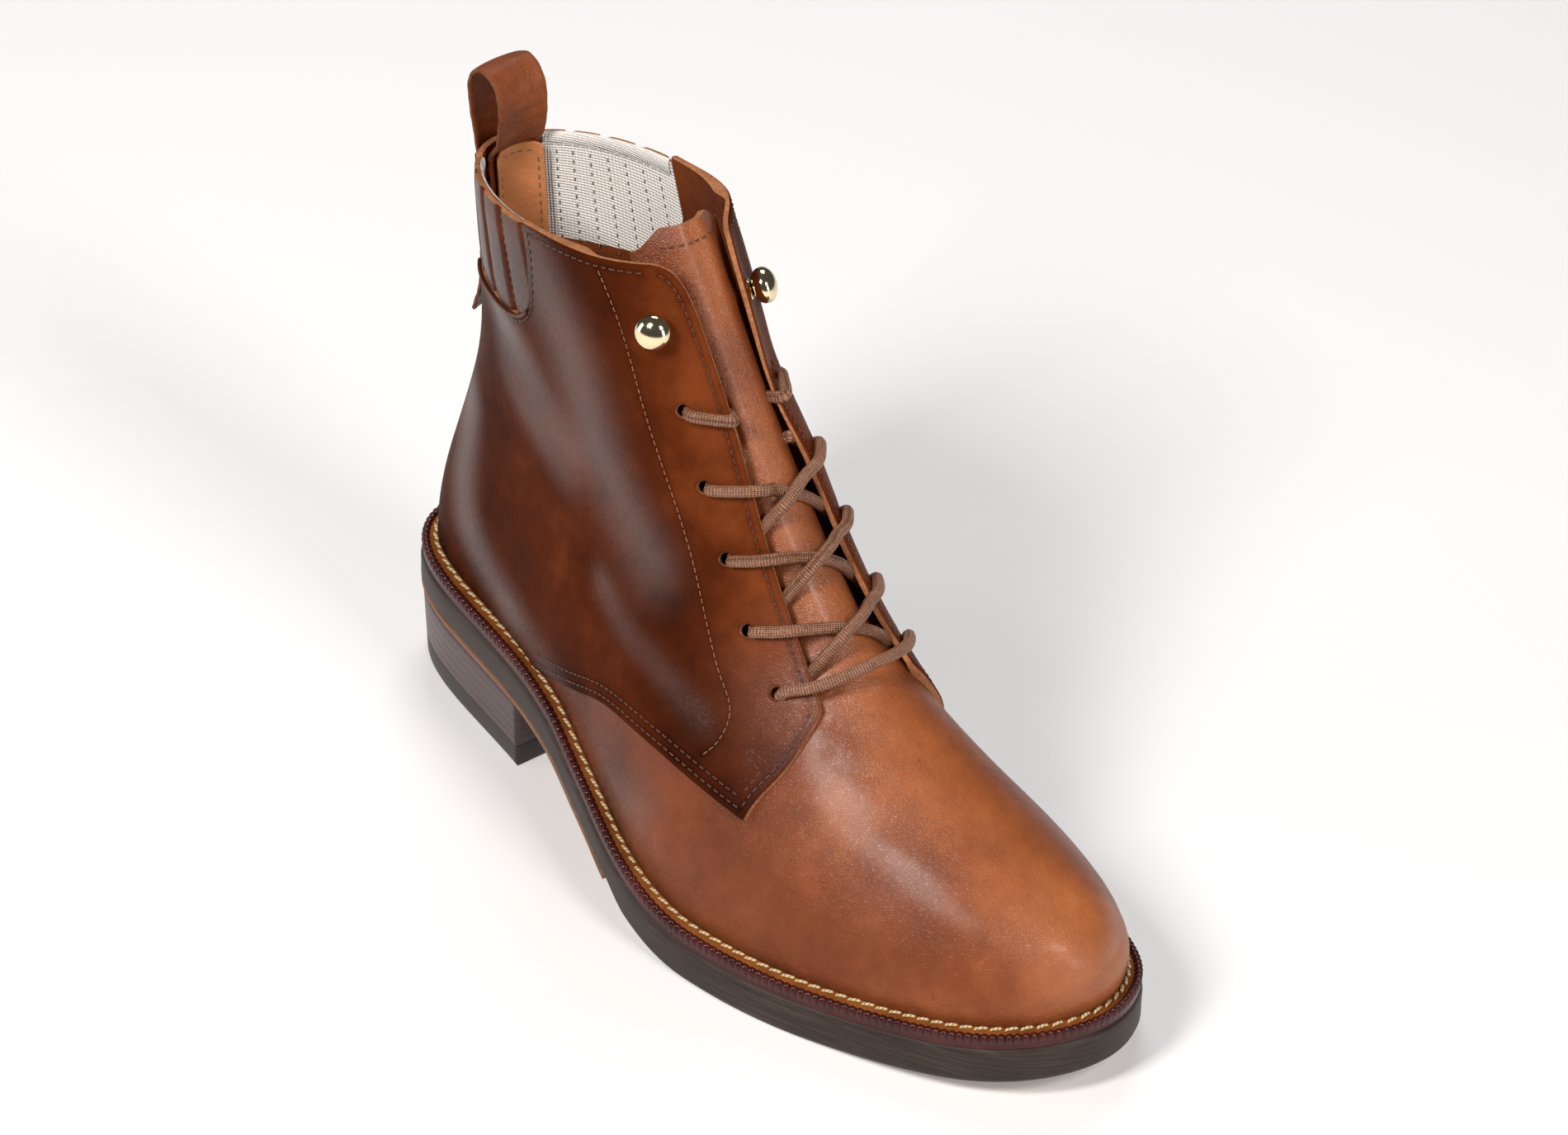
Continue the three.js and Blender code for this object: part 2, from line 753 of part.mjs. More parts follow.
// How far the tongue lies inside the last: level at the throat, drawn back at the collar
function tongueDip(level, turn) {
  const fromFront = Math.abs(turn - Math.PI) / radians;
  const edges = tongueEdgeDip * smooth(fromFront, 14, 42);
  const flat = tongueTopDip * smooth(level, 0.62, 1.05) * (1 - smooth(fromFront, 0, 60));
  return edges + flat;
}

const tongueSpaceSheet = sheet(
  tongueRows,
  tongueColumns,
  (row, col) => ({
    level: throatLow + (aboveCollar - throatLow) * row,
    turn: (tongueTurn - tongueSpace + (360 - 2 * (tongueTurn - tongueSpace)) * col) * radians,
  }),
  (level, turn) => facingLift + wall * (1 - smooth(Math.abs(turn - Math.PI) / radians, 4, 16)),
  () => -deepCut,
);

const goreColumns = 3 * pleats + 1;
const goreRows = 4;
const goreTurns = straightLines([0, 1], [goreEdge[0].turn, goreEdge[goreEdge.length - 1].turn]);
const goreLow = naturalSpline(column(goreEdge, 'turn'), column(goreEdge, 'level'));
const goreTop = 0.994;
const pastCollar = 1.05;

// Level and turn inside a gore, drawn in by a margin in millimetres on each side
function gorePlace(side, row, col, margin, top) {
  const perDegree = (collarWidth / 2) * radians;
  const perLevel = backRise;
  const wide = goreTurns(1) - goreTurns(0) - (2 * margin) / perDegree;
  const turn = (goreTurns(0) + margin / perDegree + wide * col) * radians;
  const low = goreLow(turn / radians + margin / perDegree) + margin / perLevel;
  const level = low + (top - low) * row;
  return { level, turn: side === lateral ? turn : 2 * Math.PI - turn };
}

function goreWindow(side) {
  return sheet(
    goreRows,
    goreColumns,
    (row, col) => gorePlace(side, row, col, 0, pastCollar),
    () => wall * 2,
    () => -wall * 2,
  );
}

// Depth of the gore's outer face under the last, pleat by pleat
const pleatCrest = 0.2;

function pleatLift(level, turn) {
  const degrees = (turn > Math.PI ? 2 * Math.PI - turn : turn) / radians;
  const share = (degrees - goreTurns(0)) / (goreTurns(1) - goreTurns(0));
  const wave = Math.abs(Math.sin(Math.PI * share * pleats));
  return -pleatCrest - pleatDepth * (1 - wave);
}

function goreSheet(side) {
  return sheet(
    goreRows,
    goreColumns,
    (row, col) => gorePlace(side, row, col, clearance, goreTop),
    pleatLift,
    () => -wall,
  );
}

// A group frame on the last's surface, z along the outward normal
function surfaceFrame(level, turn, offset) {
  const origin = surfacePoint(level, turn, offset);
  const normal = lastNormal(level, turn);
  const frame = new THREE.Matrix4();
  const upright = new THREE.Vector3(0, 0, 1);
  const sideways = upright.clone().cross(normal).normalize();
  frame.makeBasis(sideways, normal.clone().cross(sideways), normal);
  frame.setPosition(origin.x + toFrameX, origin.y + toFrameY, origin.z);
  return frame;
}

function turnOnBothSides(turn) {
  return [turn * radians, (360 - turn) * radians];
}

function cylinder(radius, low, high, frame) {
  const geometry = new THREE.CylinderGeometry(radius, radius, high - low, holeSides);
  geometry.rotateX(Math.PI / 2);
  geometry.translate(0, 0, (low + high) / 2);
  geometry.applyMatrix4(frame);
  return geometry;
}

const facingTop = facingLift + quarterThickness;

function makeUpper() {
  let solid = toSolid(upperWall());
  [lateral, medial].forEach((side) => {
    solid = solid.add(toSolid(quarterSheet(side)));
  });
  solid = solid.subtract(toSolid(tongueSpaceSheet));
  [lateral, medial].forEach((side) => {
    solid = solid.subtract(toSolid(goreWindow(side)));
  });
  eyeletTable.forEach(({ level, turn }) => {
    turnOnBothSides(turn).forEach((angle) => {
      const frame = surfaceFrame(level, angle, 0);
      solid = solid.subtract(toSolid(cylinder(eyeletHole, -2 * wall, 2 * facingTop, frame)));
    });
  });
  return fromSolid(solid);
}

add('upper', makeUpper(), materials.upper);

add(
  'tongue',
  sheet(
    tongueRows,
    tongueColumns,
    (row, col) => ({
      level: tongueLow + (tongueTop - tongueLow) * row,
      turn: (tongueTurn + (360 - 2 * tongueTurn) * col) * radians,
    }),
    (level, turn) => -tongueDip(level, turn),
    (level, turn) => -tongueDip(level, turn) - tongueThickness,
  ),
  materials.tongue,
);

add('gore_lateral', goreSheet(lateral), materials.upper);
add('gore_medial', goreSheet(medial), materials.upper);

// Pull loop: one strap from low on the back, over the collar, and down inside
const loopAside = 0.5;
const strapOutsideLevels = [0.72, 0.81, 0.9, 0.985];
const strapInsideLevels = [0.985, 0.94, 0.9];

// How fast a ring's back end curves forward at an offset: x grows by the bow times y squared
function ringBow(level, offset) {
  const half = (ringLateral(level) + ringMedial(level)) / 2;
  const radius = (2 * half * half) / (ringFront(level) - ringBack(level));
  return 1 / (2 * (radius + offset));
}

function strapStops() {
  const leg = (levels, offset) =>
    levels.map((level) => ({ point: surfacePoint(level, 0, offset), bow: ringBow(level, offset) }));
  const outside = leg(strapOutsideLevels, strapClearance + strapThickness / 2);
  const inside = leg(strapInsideLevels, -wall - strapClearance - strapThickness / 2);
  const foot = outside[3].point;
  const top = collarBackHeight + loopHeight;
  // Forward in millimetres from the collar's back, up as a share of the loop's rise over it
  const arch = [
    { forward: -1.6, up: 0.3 },
    { forward: -3, up: 0.6 },
    { forward: -2.2, up: 0.87 },
    { forward: 2, up: 1 },
    { forward: 7, up: 0.96 },
    { forward: 10, up: 0.72 },
    { forward: 9.6, up: 0.4 },
    { forward: 7.4, up: 0.14 },
  ].map(({ forward, up }) => ({
    point: new THREE.Vector3(foot.x + forward, 0, foot.z + (top - foot.z) * up),
    bow: ringBow(1, 0),
  }));
  return [...outside, ...arch, ...inside];
}

// A strap of even thickness along a line in a plane across y, bowed like the ring behind it
function strapAlong(stops, width, aside, thickness, steps) {
  const curve = new THREE.CatmullRomCurve3(
    stops.map((stop) => stop.point),
    false,
    'centripetal',
  );
  const bowAlong = straightLines(
    stops.map((_, i) => i / (stops.length - 1)),
    stops.map((stop) => stop.bow),
  );
  const shares = [-0.5, -0.25, 0, 0.25, 0.5];
  const outline = [...shares.map((y) => [y, -0.5]), ...shares.map((y) => [-y, 0.5])];
  const size = outline.length;
  const points = [];
  for (let i = 0; i <= steps; i++) {
    const point = curve.getPoint(i / steps);
    const tangent = curve.getTangent(i / steps);
    const across = new THREE.Vector3(-tangent.z, 0, tangent.x).multiplyScalar(thickness);
    outline.forEach(([y, depth]) => {
      const side = y * width + aside;
      const bowed = new THREE.Vector3(bowAlong(i / steps) * side * side, side, 0);
      points.push(point.clone().addScaledVector(across, depth).add(bowed));
    });
  }
  const triangles = [];
  for (let i = 0; i < steps; i++) {
    for (let j = 0; j < size; j++) {
      const a = size * i + j;
      const b = size * i + ((j + 1) % size);
      triangles.push([a, b, b + size], [a, b + size, a + size]);
    }
  }
  const end = size * steps;
  for (let j = 0; j < shares.length - 1; j++) {
    const quad = [j, j + 1, size - 2 - j, size - 1 - j];
    triangles.push([quad[0], quad[2], quad[1]], [quad[0], quad[3], quad[2]]);
    const [a, b, c, d] = quad.map((i) => end + i);
    triangles.push([a, b, c], [a, c, d]);
  }
  return closedGeometry(points, triangles);
}

add(
  'pull_loop',
  strapAlong(strapStops(), loopWidth, loopAside, strapThickness, strapSteps),
  materials.upper,
);

// Merges a geometry's shared vertices and drops the faces that merging leaves without area.
function cleaned(geometry) {
  return fromSolid(toSolid(geometry));
}

// Eyelets, as short barrels in the facings' holes
['lateral', 'medial'].forEach((sideName, which) => {
  eyeletTable.forEach(({ level, turn }, i) => {
    const frame = surfaceFrame(level, turnOnBothSides(turn)[which], 0);
    const outer = eyeletHole - clearance;
    const low = facingLift + clearance;
    const barrel = [
      new THREE.Vector2(outer - eyeletWall, low),
      new THREE.Vector2(outer, low),
      new THREE.Vector2(outer, facingTop - clearance),
      new THREE.Vector2(outer - eyeletWall, facingTop - clearance),
      new THREE.Vector2(outer - eyeletWall, low),
    ];
    const geometry = new THREE.LatheGeometry(barrel, holeSides);
    geometry.rotateX(Math.PI / 2);
    geometry.applyMatrix4(frame);
    add(`eyelet_${sideName}_${i + 1}`, cleaned(geometry), materials.eyelet);
  });
});

// Studs: a flange on the facing, a neck and a domed head
const studFlange = 2.6;
const studNeck = 1.5;
const studDome = 4.9;
turnOnBothSides(studPlace.turn).forEach((angle, which) => {
  const profile = [
    new THREE.Vector2(0, 0),
    new THREE.Vector2(studFlange, 0),
    new THREE.Vector2(studFlange - 0.2, 0.6),
    new THREE.Vector2(studNeck, 0.9),
    new THREE.Vector2(studNeck, studStem - 1),
    new THREE.Vector2(0.78 * studHead, studStem - 0.4),
    new THREE.Vector2(studHead, studStem + 0.25 * studDome),
    new THREE.Vector2(0.88 * studHead, studStem + 0.62 * studDome),
    new THREE.Vector2(0.52 * studHead, studStem + 0.89 * studDome),
    new THREE.Vector2(0, studStem + studDome),
  ];
  const geometry = new THREE.LatheGeometry(profile, studSides);
  geometry.rotateX(Math.PI / 2);
  geometry.applyMatrix4(surfaceFrame(studPlace.level, angle, facingTop + clearance));
  add(which === 0 ? 'stud_lateral' : 'stud_medial', cleaned(geometry), materials.gold);
});

// Laces: a bar outside the lowest eyelets, then crossings from under one facing's edge, over
// the tongue and the other facing's edge, to above the next eyelet
const laceClearance = 0.55;
const overFacing = facingTop + laceRadius + laceClearance;
const tongueSlack = 0.7;
const overTongue = laceRadius + tongueSlack;

function laceTube(stops) {
  const points = stops.map(({ level, turn, offset }) => {
    const point = surfacePoint(level, turn * radians, offset);
    return new THREE.Vector3(point.x + toFrameX, point.y + toFrameY, point.z);
  });
  const curve = new THREE.CatmullRomCurve3(points, false, 'centripetal');
  const circle = new THREE.Shape();
  for (let i = 0; i < laceSides; i++) {
    const angle = (2 * Math.PI * i) / laceSides;
    const spot = [laceRadius * Math.cos(angle), laceRadius * Math.sin(angle)];
    if (i === 0) {
      circle.moveTo(...spot);
    } else {
      circle.lineTo(...spot);
    }
  }
  circle.closePath();
  return new THREE.ExtrudeGeometry(circle, { steps: laceSteps, extrudePath: curve, bevelEnabled: false });
}

const facingEdge = quarterEdge.slice(quarterEdge.findIndex((row) => row.level > tongueLow) - 1);
const edgeTurn = straightLines(column(facingEdge, 'level'), column(facingEdge, 'turn'));

// A taut lace climbs over the instep's ridge: its level rises over the straight line between its
// eyelets, most halfway, by this share of the level
const barClimb = 0.042;
const crossingClimb = [0.052, 0.052, 0.04, 0.026];

// A stop at a turn on the way from one eyelet to another on the other side
function laceStop(from, to, climb, turn, offset) {
  const share = (turn - from.turn) / (360 - to.turn - from.turn);
  const level = from.level + (to.level - from.level) * share + climb * Math.sin(Math.PI * share);
  return { level, turn, offset };
}

const low = eyeletTable[0];
const barStop = (turn, offset) => laceStop(low, low, barClimb, turn, offset);
add(
  'lace_bar',
  cleaned(
    laceTube([
      barStop(low.turn, overFacing),
      barStop(150, overFacing + 0.2),
      barStop(165, overFacing - 0.2),
      barStop(180, overFacing - 0.4),
      barStop(195, overFacing - 0.2),
      barStop(210, overFacing + 0.2),
      barStop(360 - low.turn, overFacing),
    ]),
  ),
  materials.lace,
);

function crossing(from, to, climb, side) {
  const farEdge = edgeTurn(to.level);
  const nearEdge = edgeTurn(from.level + 0.3 * (to.level - from.level)) + 9;
  const stops = [
    laceStop(from, to, climb, nearEdge, overTongue),
    laceStop(from, to, climb, 180, overTongue + 0.2),
    laceStop(from, to, climb, 360 - farEdge - 8, overTongue + 1.8),
    laceStop(from, to, climb, 360 - farEdge - 1, overFacing + 0.5),
    laceStop(from, to, climb, 360 - to.turn, overFacing),
  ];
  return stops.map((stop) => ({ ...stop, turn: side === lateral ? stop.turn : 360 - stop.turn }));
}

for (let i = 0; i < eyeletTable.length - 1; i++) {
  const [first, second] = [lateral, medial].map((side) =>
    toSolid(laceTube(crossing(eyeletTable[i], eyeletTable[i + 1], crossingClimb[i], side))),
  );
  add(`lace_crossing_${i + 1}`, fromSolid(first.add(second)), materials.lace);
}

export default boot;
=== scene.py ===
"""The looks of a lace up ankle boot for the right foot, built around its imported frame.

Lengths are in millimetres until a mesh is made. A place on the upper is (level, turn): level runs
from the welt (0) to the collar (1), turn in degrees from the back over the lateral side, so that
180 is the front. A lift is the height over the last's surface.
"""
import math

import bpy
import numpy as np
from mathutils import Matrix, Vector
from mathutils.geometry import delaunay_2d_cdt


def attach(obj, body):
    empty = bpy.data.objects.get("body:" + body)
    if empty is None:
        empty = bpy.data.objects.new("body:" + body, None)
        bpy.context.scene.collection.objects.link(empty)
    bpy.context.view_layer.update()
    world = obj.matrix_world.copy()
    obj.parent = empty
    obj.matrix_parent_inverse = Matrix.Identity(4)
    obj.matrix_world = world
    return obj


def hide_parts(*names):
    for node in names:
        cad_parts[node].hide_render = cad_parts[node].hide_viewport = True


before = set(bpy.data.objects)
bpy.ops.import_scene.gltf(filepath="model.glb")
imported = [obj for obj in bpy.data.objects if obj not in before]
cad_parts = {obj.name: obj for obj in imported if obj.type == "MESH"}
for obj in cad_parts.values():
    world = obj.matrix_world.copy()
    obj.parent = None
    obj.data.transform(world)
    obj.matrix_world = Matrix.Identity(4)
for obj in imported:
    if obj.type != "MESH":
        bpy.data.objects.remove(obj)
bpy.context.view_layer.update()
rng = np.random.default_rng(11)
MM = 0.001

# Sizes, as in the part's source
SOLE_LENGTH = 273.5
BALL_WIDTH = 99
HEEL_HEIGHT = 23.3
TOE_SPRING = 7.7
SOLE_THICKNESS = 11.1
WAIST_LAYER = 2.2
TOP_PIECE = 7
HEEL_LENGTH = 70
HEEL_TAPER = 1.6
WELT = 4.6
SHELF = 4.7
WALL = 2.0
QUARTER = 1.9
FACING_LIFT = 0.9
COLLAR_BACK = 169
COLLAR_FRONT = 181.5
COLLAR_WIDTH = 53.4
LATERAL, MEDIAL = -1, 1

# along the sole, lateral and medial as shares of the ball width
OUTLINE = np.array([
    [0, 0, 0], [0.03, 0.172, 0.177], [0.1, 0.259, 0.281], [0.16, 0.291, 0.309],
    [0.24, 0.327, 0.317], [0.32, 0.374, 0.307], [0.4, 0.432, 0.295], [0.48, 0.505, 0.299],
    [0.55, 0.547, 0.329], [0.62, 0.547, 0.386], [0.7, 0.513, 0.44], [0.78, 0.446, 0.453],
    [0.85, 0.372, 0.426], [0.91, 0.297, 0.374], [0.95, 0.222, 0.313], [0.98, 0.125, 0.225],
    [1, -0.058, 0.058],
])
# along the sole, share of the heel height, share of the toe spring
UNDERSIDE = np.array([
    [0, 1, 0], [0.255, 0.96, 0], [0.32, 0.86, 0], [0.395, 0.52, 0], [0.523, 0.18, 0],
    [0.62, 0, 0], [0.73, 0, 0], [0.82, 0, 0.13], [0.91, 0, 0.48], [1, 0, 1],
])
# level, back along the sole, its share of the rise, front along the sole, its share of the rise,
# lateral and medial half width of the leg as shares of the collar's
RINGS = np.array([
    [0, 0.0172, 0, 0.9828, 0, 1.35, 1.35], [0.1, 0.0183, 0.054, 0.985, 0.064, 1.29, 1.29],
    [0.2, 0.022, 0.123, 0.96, 0.134, 1.22, 1.23], [0.3, 0.03, 0.208, 0.892, 0.188, 1.14, 1.16],
    [0.4, 0.043, 0.308, 0.8, 0.248, 1.08, 1.115], [0.5, 0.057, 0.415, 0.705, 0.33, 1.035, 1.08],
    [0.6, 0.0687, 0.523, 0.6215, 0.437, 0.997, 1.04],
    [0.7, 0.0738, 0.638, 0.556, 0.56, 0.981, 1.026],
    [0.8, 0.0724, 0.762, 0.503, 0.7, 0.981, 1.026],
    [0.9, 0.068, 0.885, 0.457, 0.848, 0.989, 1.019], [1, 0.065, 1, 0.4077, 1, 0.989, 1.011],
])


def smooth(value, start, end):
    share = np.clip((value - start) / (end - start), 0, 1)
    return share * share * (3 - 2 * share)


def spline(xs, ys):
    """A natural cubic spline through (xs, ys), as a function of an array."""
    xs, ys = np.asarray(xs, float), np.asarray(ys, float)
    gap = np.diff(xs)
    rows, bend = np.eye(len(xs)), np.zeros(len(xs))
    for i in range(1, len(xs) - 1):
        rows[i, i - 1:i + 2] = gap[i - 1], 2 * (gap[i - 1] + gap[i]), gap[i]
        bend[i] = 6 * ((ys[i + 1] - ys[i]) / gap[i] - (ys[i] - ys[i - 1]) / gap[i - 1])
    moment = np.linalg.solve(rows, bend)

    def at(x):
        i = np.clip(np.searchsorted(xs, x) - 1, 0, len(xs) - 2)
        a, b = (xs[i + 1] - x) / gap[i], (x - xs[i]) / gap[i]
        curve = (a ** 3 - a) * moment[i] + (b ** 3 - b) * moment[i + 1]
        return a * ys[i] + b * ys[i + 1] + curve * gap[i] ** 2 / 6
    return at


def monotone(xs, ys):
    """A smooth line through (xs, ys) that never overshoots them."""
    step = np.diff(ys) / np.diff(xs)
    slope = np.zeros(len(xs))
    same = step[:-1] * step[1:] > 0
    slope[1:-1][same] = (2 * step[:-1] * step[1:])[same] / (step[:-1] + step[1:])[same]
    slope[-1] = 1.5 * step[-1] - slope[-2] / 2

    def at(x):
        x = np.clip(x, xs[0], xs[-1])
        i = np.clip(np.searchsorted(xs, x) - 1, 0, len(xs) - 2)
        wide = xs[i + 1] - xs[i]
        t = (x - xs[i]) / wide
        rise = ys[i] * (1 + 2 * t) * (1 - t) ** 2 + ys[i + 1] * t * t * (3 - 2 * t)
        return rise + wide * (slope[i] * t * (1 - t) ** 2 - slope[i + 1] * t * t * (1 - t))
    return at


def way_along(points):
    """The distance of each point from the first, along their line."""
    return np.concatenate([[0], np.cumsum(np.linalg.norm(np.diff(points, axis=0), axis=1))])


def line_at(points, run, at):
    """Points at the distances `at`, straight between the points of a line."""
    return np.stack([np.interp(at, run, column) for column in points.T], 1)


def curve_at(points, run, at):
    """Points at the distances `at`, on a smooth curve through the points of a line."""
    return np.stack([spline(run, column)(at) for column in points.T], 1)


def round_angles(count):
    return np.linspace(0, 2 * np.pi, count, endpoint=False)


# Sole
edge_angle = np.arccos(1 - 2 * OUTLINE[:, 0])
lateral_edge = spline(edge_angle, OUTLINE[:, 1] * BALL_WIDTH)
medial_edge = spline(edge_angle, OUTLINE[:, 2] * BALL_WIDTH)
underside = monotone(UNDERSIDE[:, 0] * SOLE_LENGTH,
                     UNDERSIDE[:, 1] * HEEL_HEIGHT + UNDERSIDE[:, 2] * TOE_SPRING)


def sole_top(x):
    return underside(x) + SOLE_THICKNESS


def welt_top(x):
    return sole_top(x) + WELT


FEATHER_STATIONS = 160


def outline(inset, stations=FEATHER_STATIONS):
    """The sole's edge moved inwards: out along the lateral side, back along the medial one."""
    angle = np.pi * np.arange(stations + 1) / stations
    x = SOLE_LENGTH * (1 - np.cos(angle)) / 2
    loop = np.concatenate([
        np.stack([x, -lateral_edge(angle)], 1),
        np.stack([x, medial_edge(angle)], 1)[-2:0:-1],
    ])
    way = np.roll(loop, -1, 0) - np.roll(loop, 1, 0)
    way /= np.linalg.norm(way, axis=1)[:, None]
    return loop + inset * np.stack([-way[:, 1], way[:, 0]], 1)


whole_edge = outline(0)
SHIFT = np.array([-SOLE_LENGTH / 2, -(whole_edge[:, 1].max() + whole_edge[:, 1].min()) / 2, 0])
feather = outline(SHELF)
feather_lateral = feather[:FEATHER_STATIONS + 1]
feather_medial = np.concatenate([feather[:1], feather[FEATHER_STATIONS:][::-1]])
FEATHER_TOE = SOLE_LENGTH - SHELF
TOE_LEAN = feather[FEATHER_STATIONS, 1]

# Rings of the last
back_at = spline(RINGS[:, 0], RINGS[:, 1] * SOLE_LENGTH)
front_at = spline(RINGS[:, 0], RINGS[:, 3] * SOLE_LENGTH)
half_lateral = spline(RINGS[:, 0], RINGS[:, 5] * COLLAR_WIDTH / 2)
half_medial = spline(RINGS[:, 0], RINGS[:, 6] * COLLAR_WIDTH / 2)
BACK_RISE = COLLAR_BACK - welt_top(SHELF)
FRONT_RISE = COLLAR_FRONT - welt_top(FEATHER_TOE)
back_share = spline(RINGS[:, 0], RINGS[:, 2] * BACK_RISE)
front_share = spline(RINGS[:, 0], RINGS[:, 4] * FRONT_RISE)
ridge_level = np.linspace(1, 0, 301)
ridge_x = front_at(ridge_level)
ridge_z = welt_top(FEATHER_TOE) + front_share(ridge_level)
keep = np.concatenate([[True], np.diff(np.maximum.accumulate(ridge_x)) > 0])
ridge_x, ridge_z = ridge_x[keep], ridge_z[keep]
SHIN_SLOPE = (ridge_z[0] - ridge_z[6]) / (ridge_x[0] - ridge_x[6])


def ridge(x):
    above = ridge_z[0] + SHIN_SLOPE * (x - ridge_x[0])
    return np.where(x < ridge_x[0], above, np.interp(x, ridge_x, ridge_z))


def last(level, turn):
    """Points of the last's surface, in the part's frame."""
    level, turn = np.broadcast_arrays(np.asarray(level, float), np.radians(turn))
    outer = np.sin(turn) >= 0
    side = np.where(outer, LATERAL, MEDIAL)
    along = (1 - np.cos(turn)) / 2
    back, front = back_at(level), front_at(level)
    x = back + (front - back) * along
    back_z = welt_top(SHELF) + back_share(level)
    front_z = welt_top(FEATHER_TOE) + front_share(level)
    low = welt_top(x)
    gap = back_z - welt_top(back)
    followed = low + gap + (front_z - welt_top(front) - gap) * along
    rings = smooth(level, 0, 0.8)
    z = (1 - rings) * followed + rings * (back_z + (front_z - back_z) * along)
    up = np.clip((z - low) / np.maximum(ridge(x) - low, 0.001), 0, 1)
    power = 1.8 + 0.6 * np.clip((x / SOLE_LENGTH - 0.6) / 0.3, 0, 1)
    swell = 1 + 0.03 * np.sin(np.pi * np.minimum(1, 1.5 * up))
    across = (1 - up ** power) ** (1 / power) * swell
    past = np.maximum(front, FEATHER_TOE) - FEATHER_TOE
    moved = x - (back - SHELF) * (1 - along) ** 2 - past * along
    start = 0.73 * SOLE_LENGTH
    centre = TOE_LEAN * np.clip((moved - start) / (FEATHER_TOE - start), 0, 1) ** 2
    wide = np.where(outer, -np.interp(moved, *feather_lateral.T),
                    np.interp(moved, *feather_medial.T))
    foot = centre + side * (wide - side * centre) * across
    leg = side * np.where(outer, half_lateral(level), half_medial(level)) * np.abs(np.sin(turn))
    share = smooth(level, 0.1, 0.75)
    return np.stack([x, (1 - share) * foot + share * leg, z], -1) + SHIFT


# Half the steps in level and in turn that give the surface's slope
PROBE = 0.004
PROBE_TURN = 1.8


def unit(v):
    return v / np.maximum(np.linalg.norm(v, axis=-1), 1e-9)[..., None]


def normal(level, turn):
    low = np.maximum(0, level - PROBE)
    rise = last(low + 2 * PROBE, turn) - last(low, turn)
    run = last(level, turn + PROBE_TURN) - last(level, turn - PROBE_TURN)
    return unit(np.cross(run, rise))


def nearest(points, line):
    """Each point's distance to the nearest of the line's points."""
    points, line = np.asarray(points, np.float32), np.asarray(line, np.float32)
    found = [np.sqrt(((part[:, None] - line[None]) ** 2).sum(-1).min(1))
             for part in np.array_split(points, max(1, len(points) // 3000))]
    return np.concatenate(found)


def tangent(points, closed=False):
    if closed:
        return unit(np.roll(points, -1, 0) - np.roll(points, 1, 0))
    return unit(np.gradient(points, axis=0))


def spaced(places, gap):
    """A line of places resampled at about even real distances."""
    places = np.asarray(places, float)
    fine = np.concatenate([np.linspace(a, b, 24, endpoint=False)
                           for a, b in zip(places, places[1:])] + [places[-1:]])
    run = way_along(last(*fine.T))
    wanted = np.linspace(0, run[-1], max(2, int(round(run[-1] / gap)) + 1))
    return line_at(fine, run, wanted)


def curved(places, gap):
    """A smooth line through a few places, resampled at even real distances."""
    places = np.asarray(places, float)
    run = way_along(last(*places.T))
    return spaced(curve_at(places, run, np.linspace(0, run[-1], 12 * len(places))), gap)


def gradients(level, turn):
    """How a point of the last moves as its level and its turn grow."""
    by_level = (last(level + PROBE, turn) - last(level - PROBE, turn)) / (2 * PROBE)
    by_turn = (last(level, turn + 1) - last(level, turn - 1)) / 2
    return by_level, by_turn


def beside(line, distance, closed=False):
    """A line of places moved to its left, by a distance in millimetres along the surface."""
    line = np.asarray(line, float)
    level, turn = line.T
    points = last(level, turn)
    move = distance * np.cross(normal(level, turn), tangent(points, closed))
    by_level, by_turn = gradients(level, turn)
    a, b, c = [(u * v).sum(1) for u, v in
               ((by_level, by_level), (by_level, by_turn), (by_turn, by_turn))]
    p, q = (by_level * move).sum(1), (by_turn * move).sum(1)
    det = a * c - b * b
    return line + np.stack([(c * p - b * q) / det, (a * q - b * p) / det], 1)


def mirrored(line):
    """The same line on the other side of the boot, in reverse order."""
    return np.stack([line[:, 0], 360 - line[:, 1]], 1)[::-1]


def unchanged(line):
    return line


SIDES = (("lateral", unchanged), ("medial", mirrored))

# Soft troughs and ridges of worn leather: places, half width, depth (a ridge where negative)
FOLDS = [
    ([(0.76, 52), (0.725, 76), (0.67, 90), (0.606, 99), (0.56, 107), (0.515, 114)], 9, 0.9),
    ([(0.70, 62), (0.66, 80), (0.60, 91), (0.54, 96), (0.47, 100)], 8, -0.8),
    ([(0.64, 96), (0.58, 104), (0.53, 112), (0.50, 122)], 5, -0.5),
    ([(0.50, 150), (0.49, 160), (0.47, 170), (0.45, 180)], 3.5, 0.45),
    ([(0.45, 146), (0.44, 158), (0.425, 170), (0.42, 182)], 4, 0.35),
    ([(0.40, 142), (0.385, 156), (0.375, 170), (0.37, 186)], 6, 0.3),
    ([(0.47, 178), (0.455, 190), (0.44, 204)], 4, 0.4),
    ([(0.35, 150), (0.335, 166), (0.33, 184)], 7, -0.3),
    ([(0.936, 149), (0.937, 150)], 2.2, -0.7),
    ([(0.936, 211), (0.937, 210)], 2.2, -0.7),
]
# The medial facing leans in over the tongue near its top
LEANS = [([(1.0, 208), (0.95, 206), (0.90, 206), (0.84, 208)], 17, 3.6),
         ([(1.0, 223), (0.95, 222), (0.90, 222), (0.86, 222)], 13, 3.2)]
# Beyond these distances from its middle, a band adds nothing
FOLD_REACH = 90
SHINE_REACH = 110


def followed(bands):
    """Bands with their places made into points of the last."""
    return [(last(*curved(places, 3).T), wide, amount) for places, wide, amount in bands]


def near_bands(points, bands, reach):
    """The sum of the bands' amounts at each point, fading over their half widths."""
    value = np.zeros(len(points))
    for line, wide, amount in bands:
        near = np.abs(points - line.mean(0)).max(1) < reach
        if near.any():
            value[near] += amount * np.exp(-(nearest(points[near], line) / wide) ** 2)
    return value


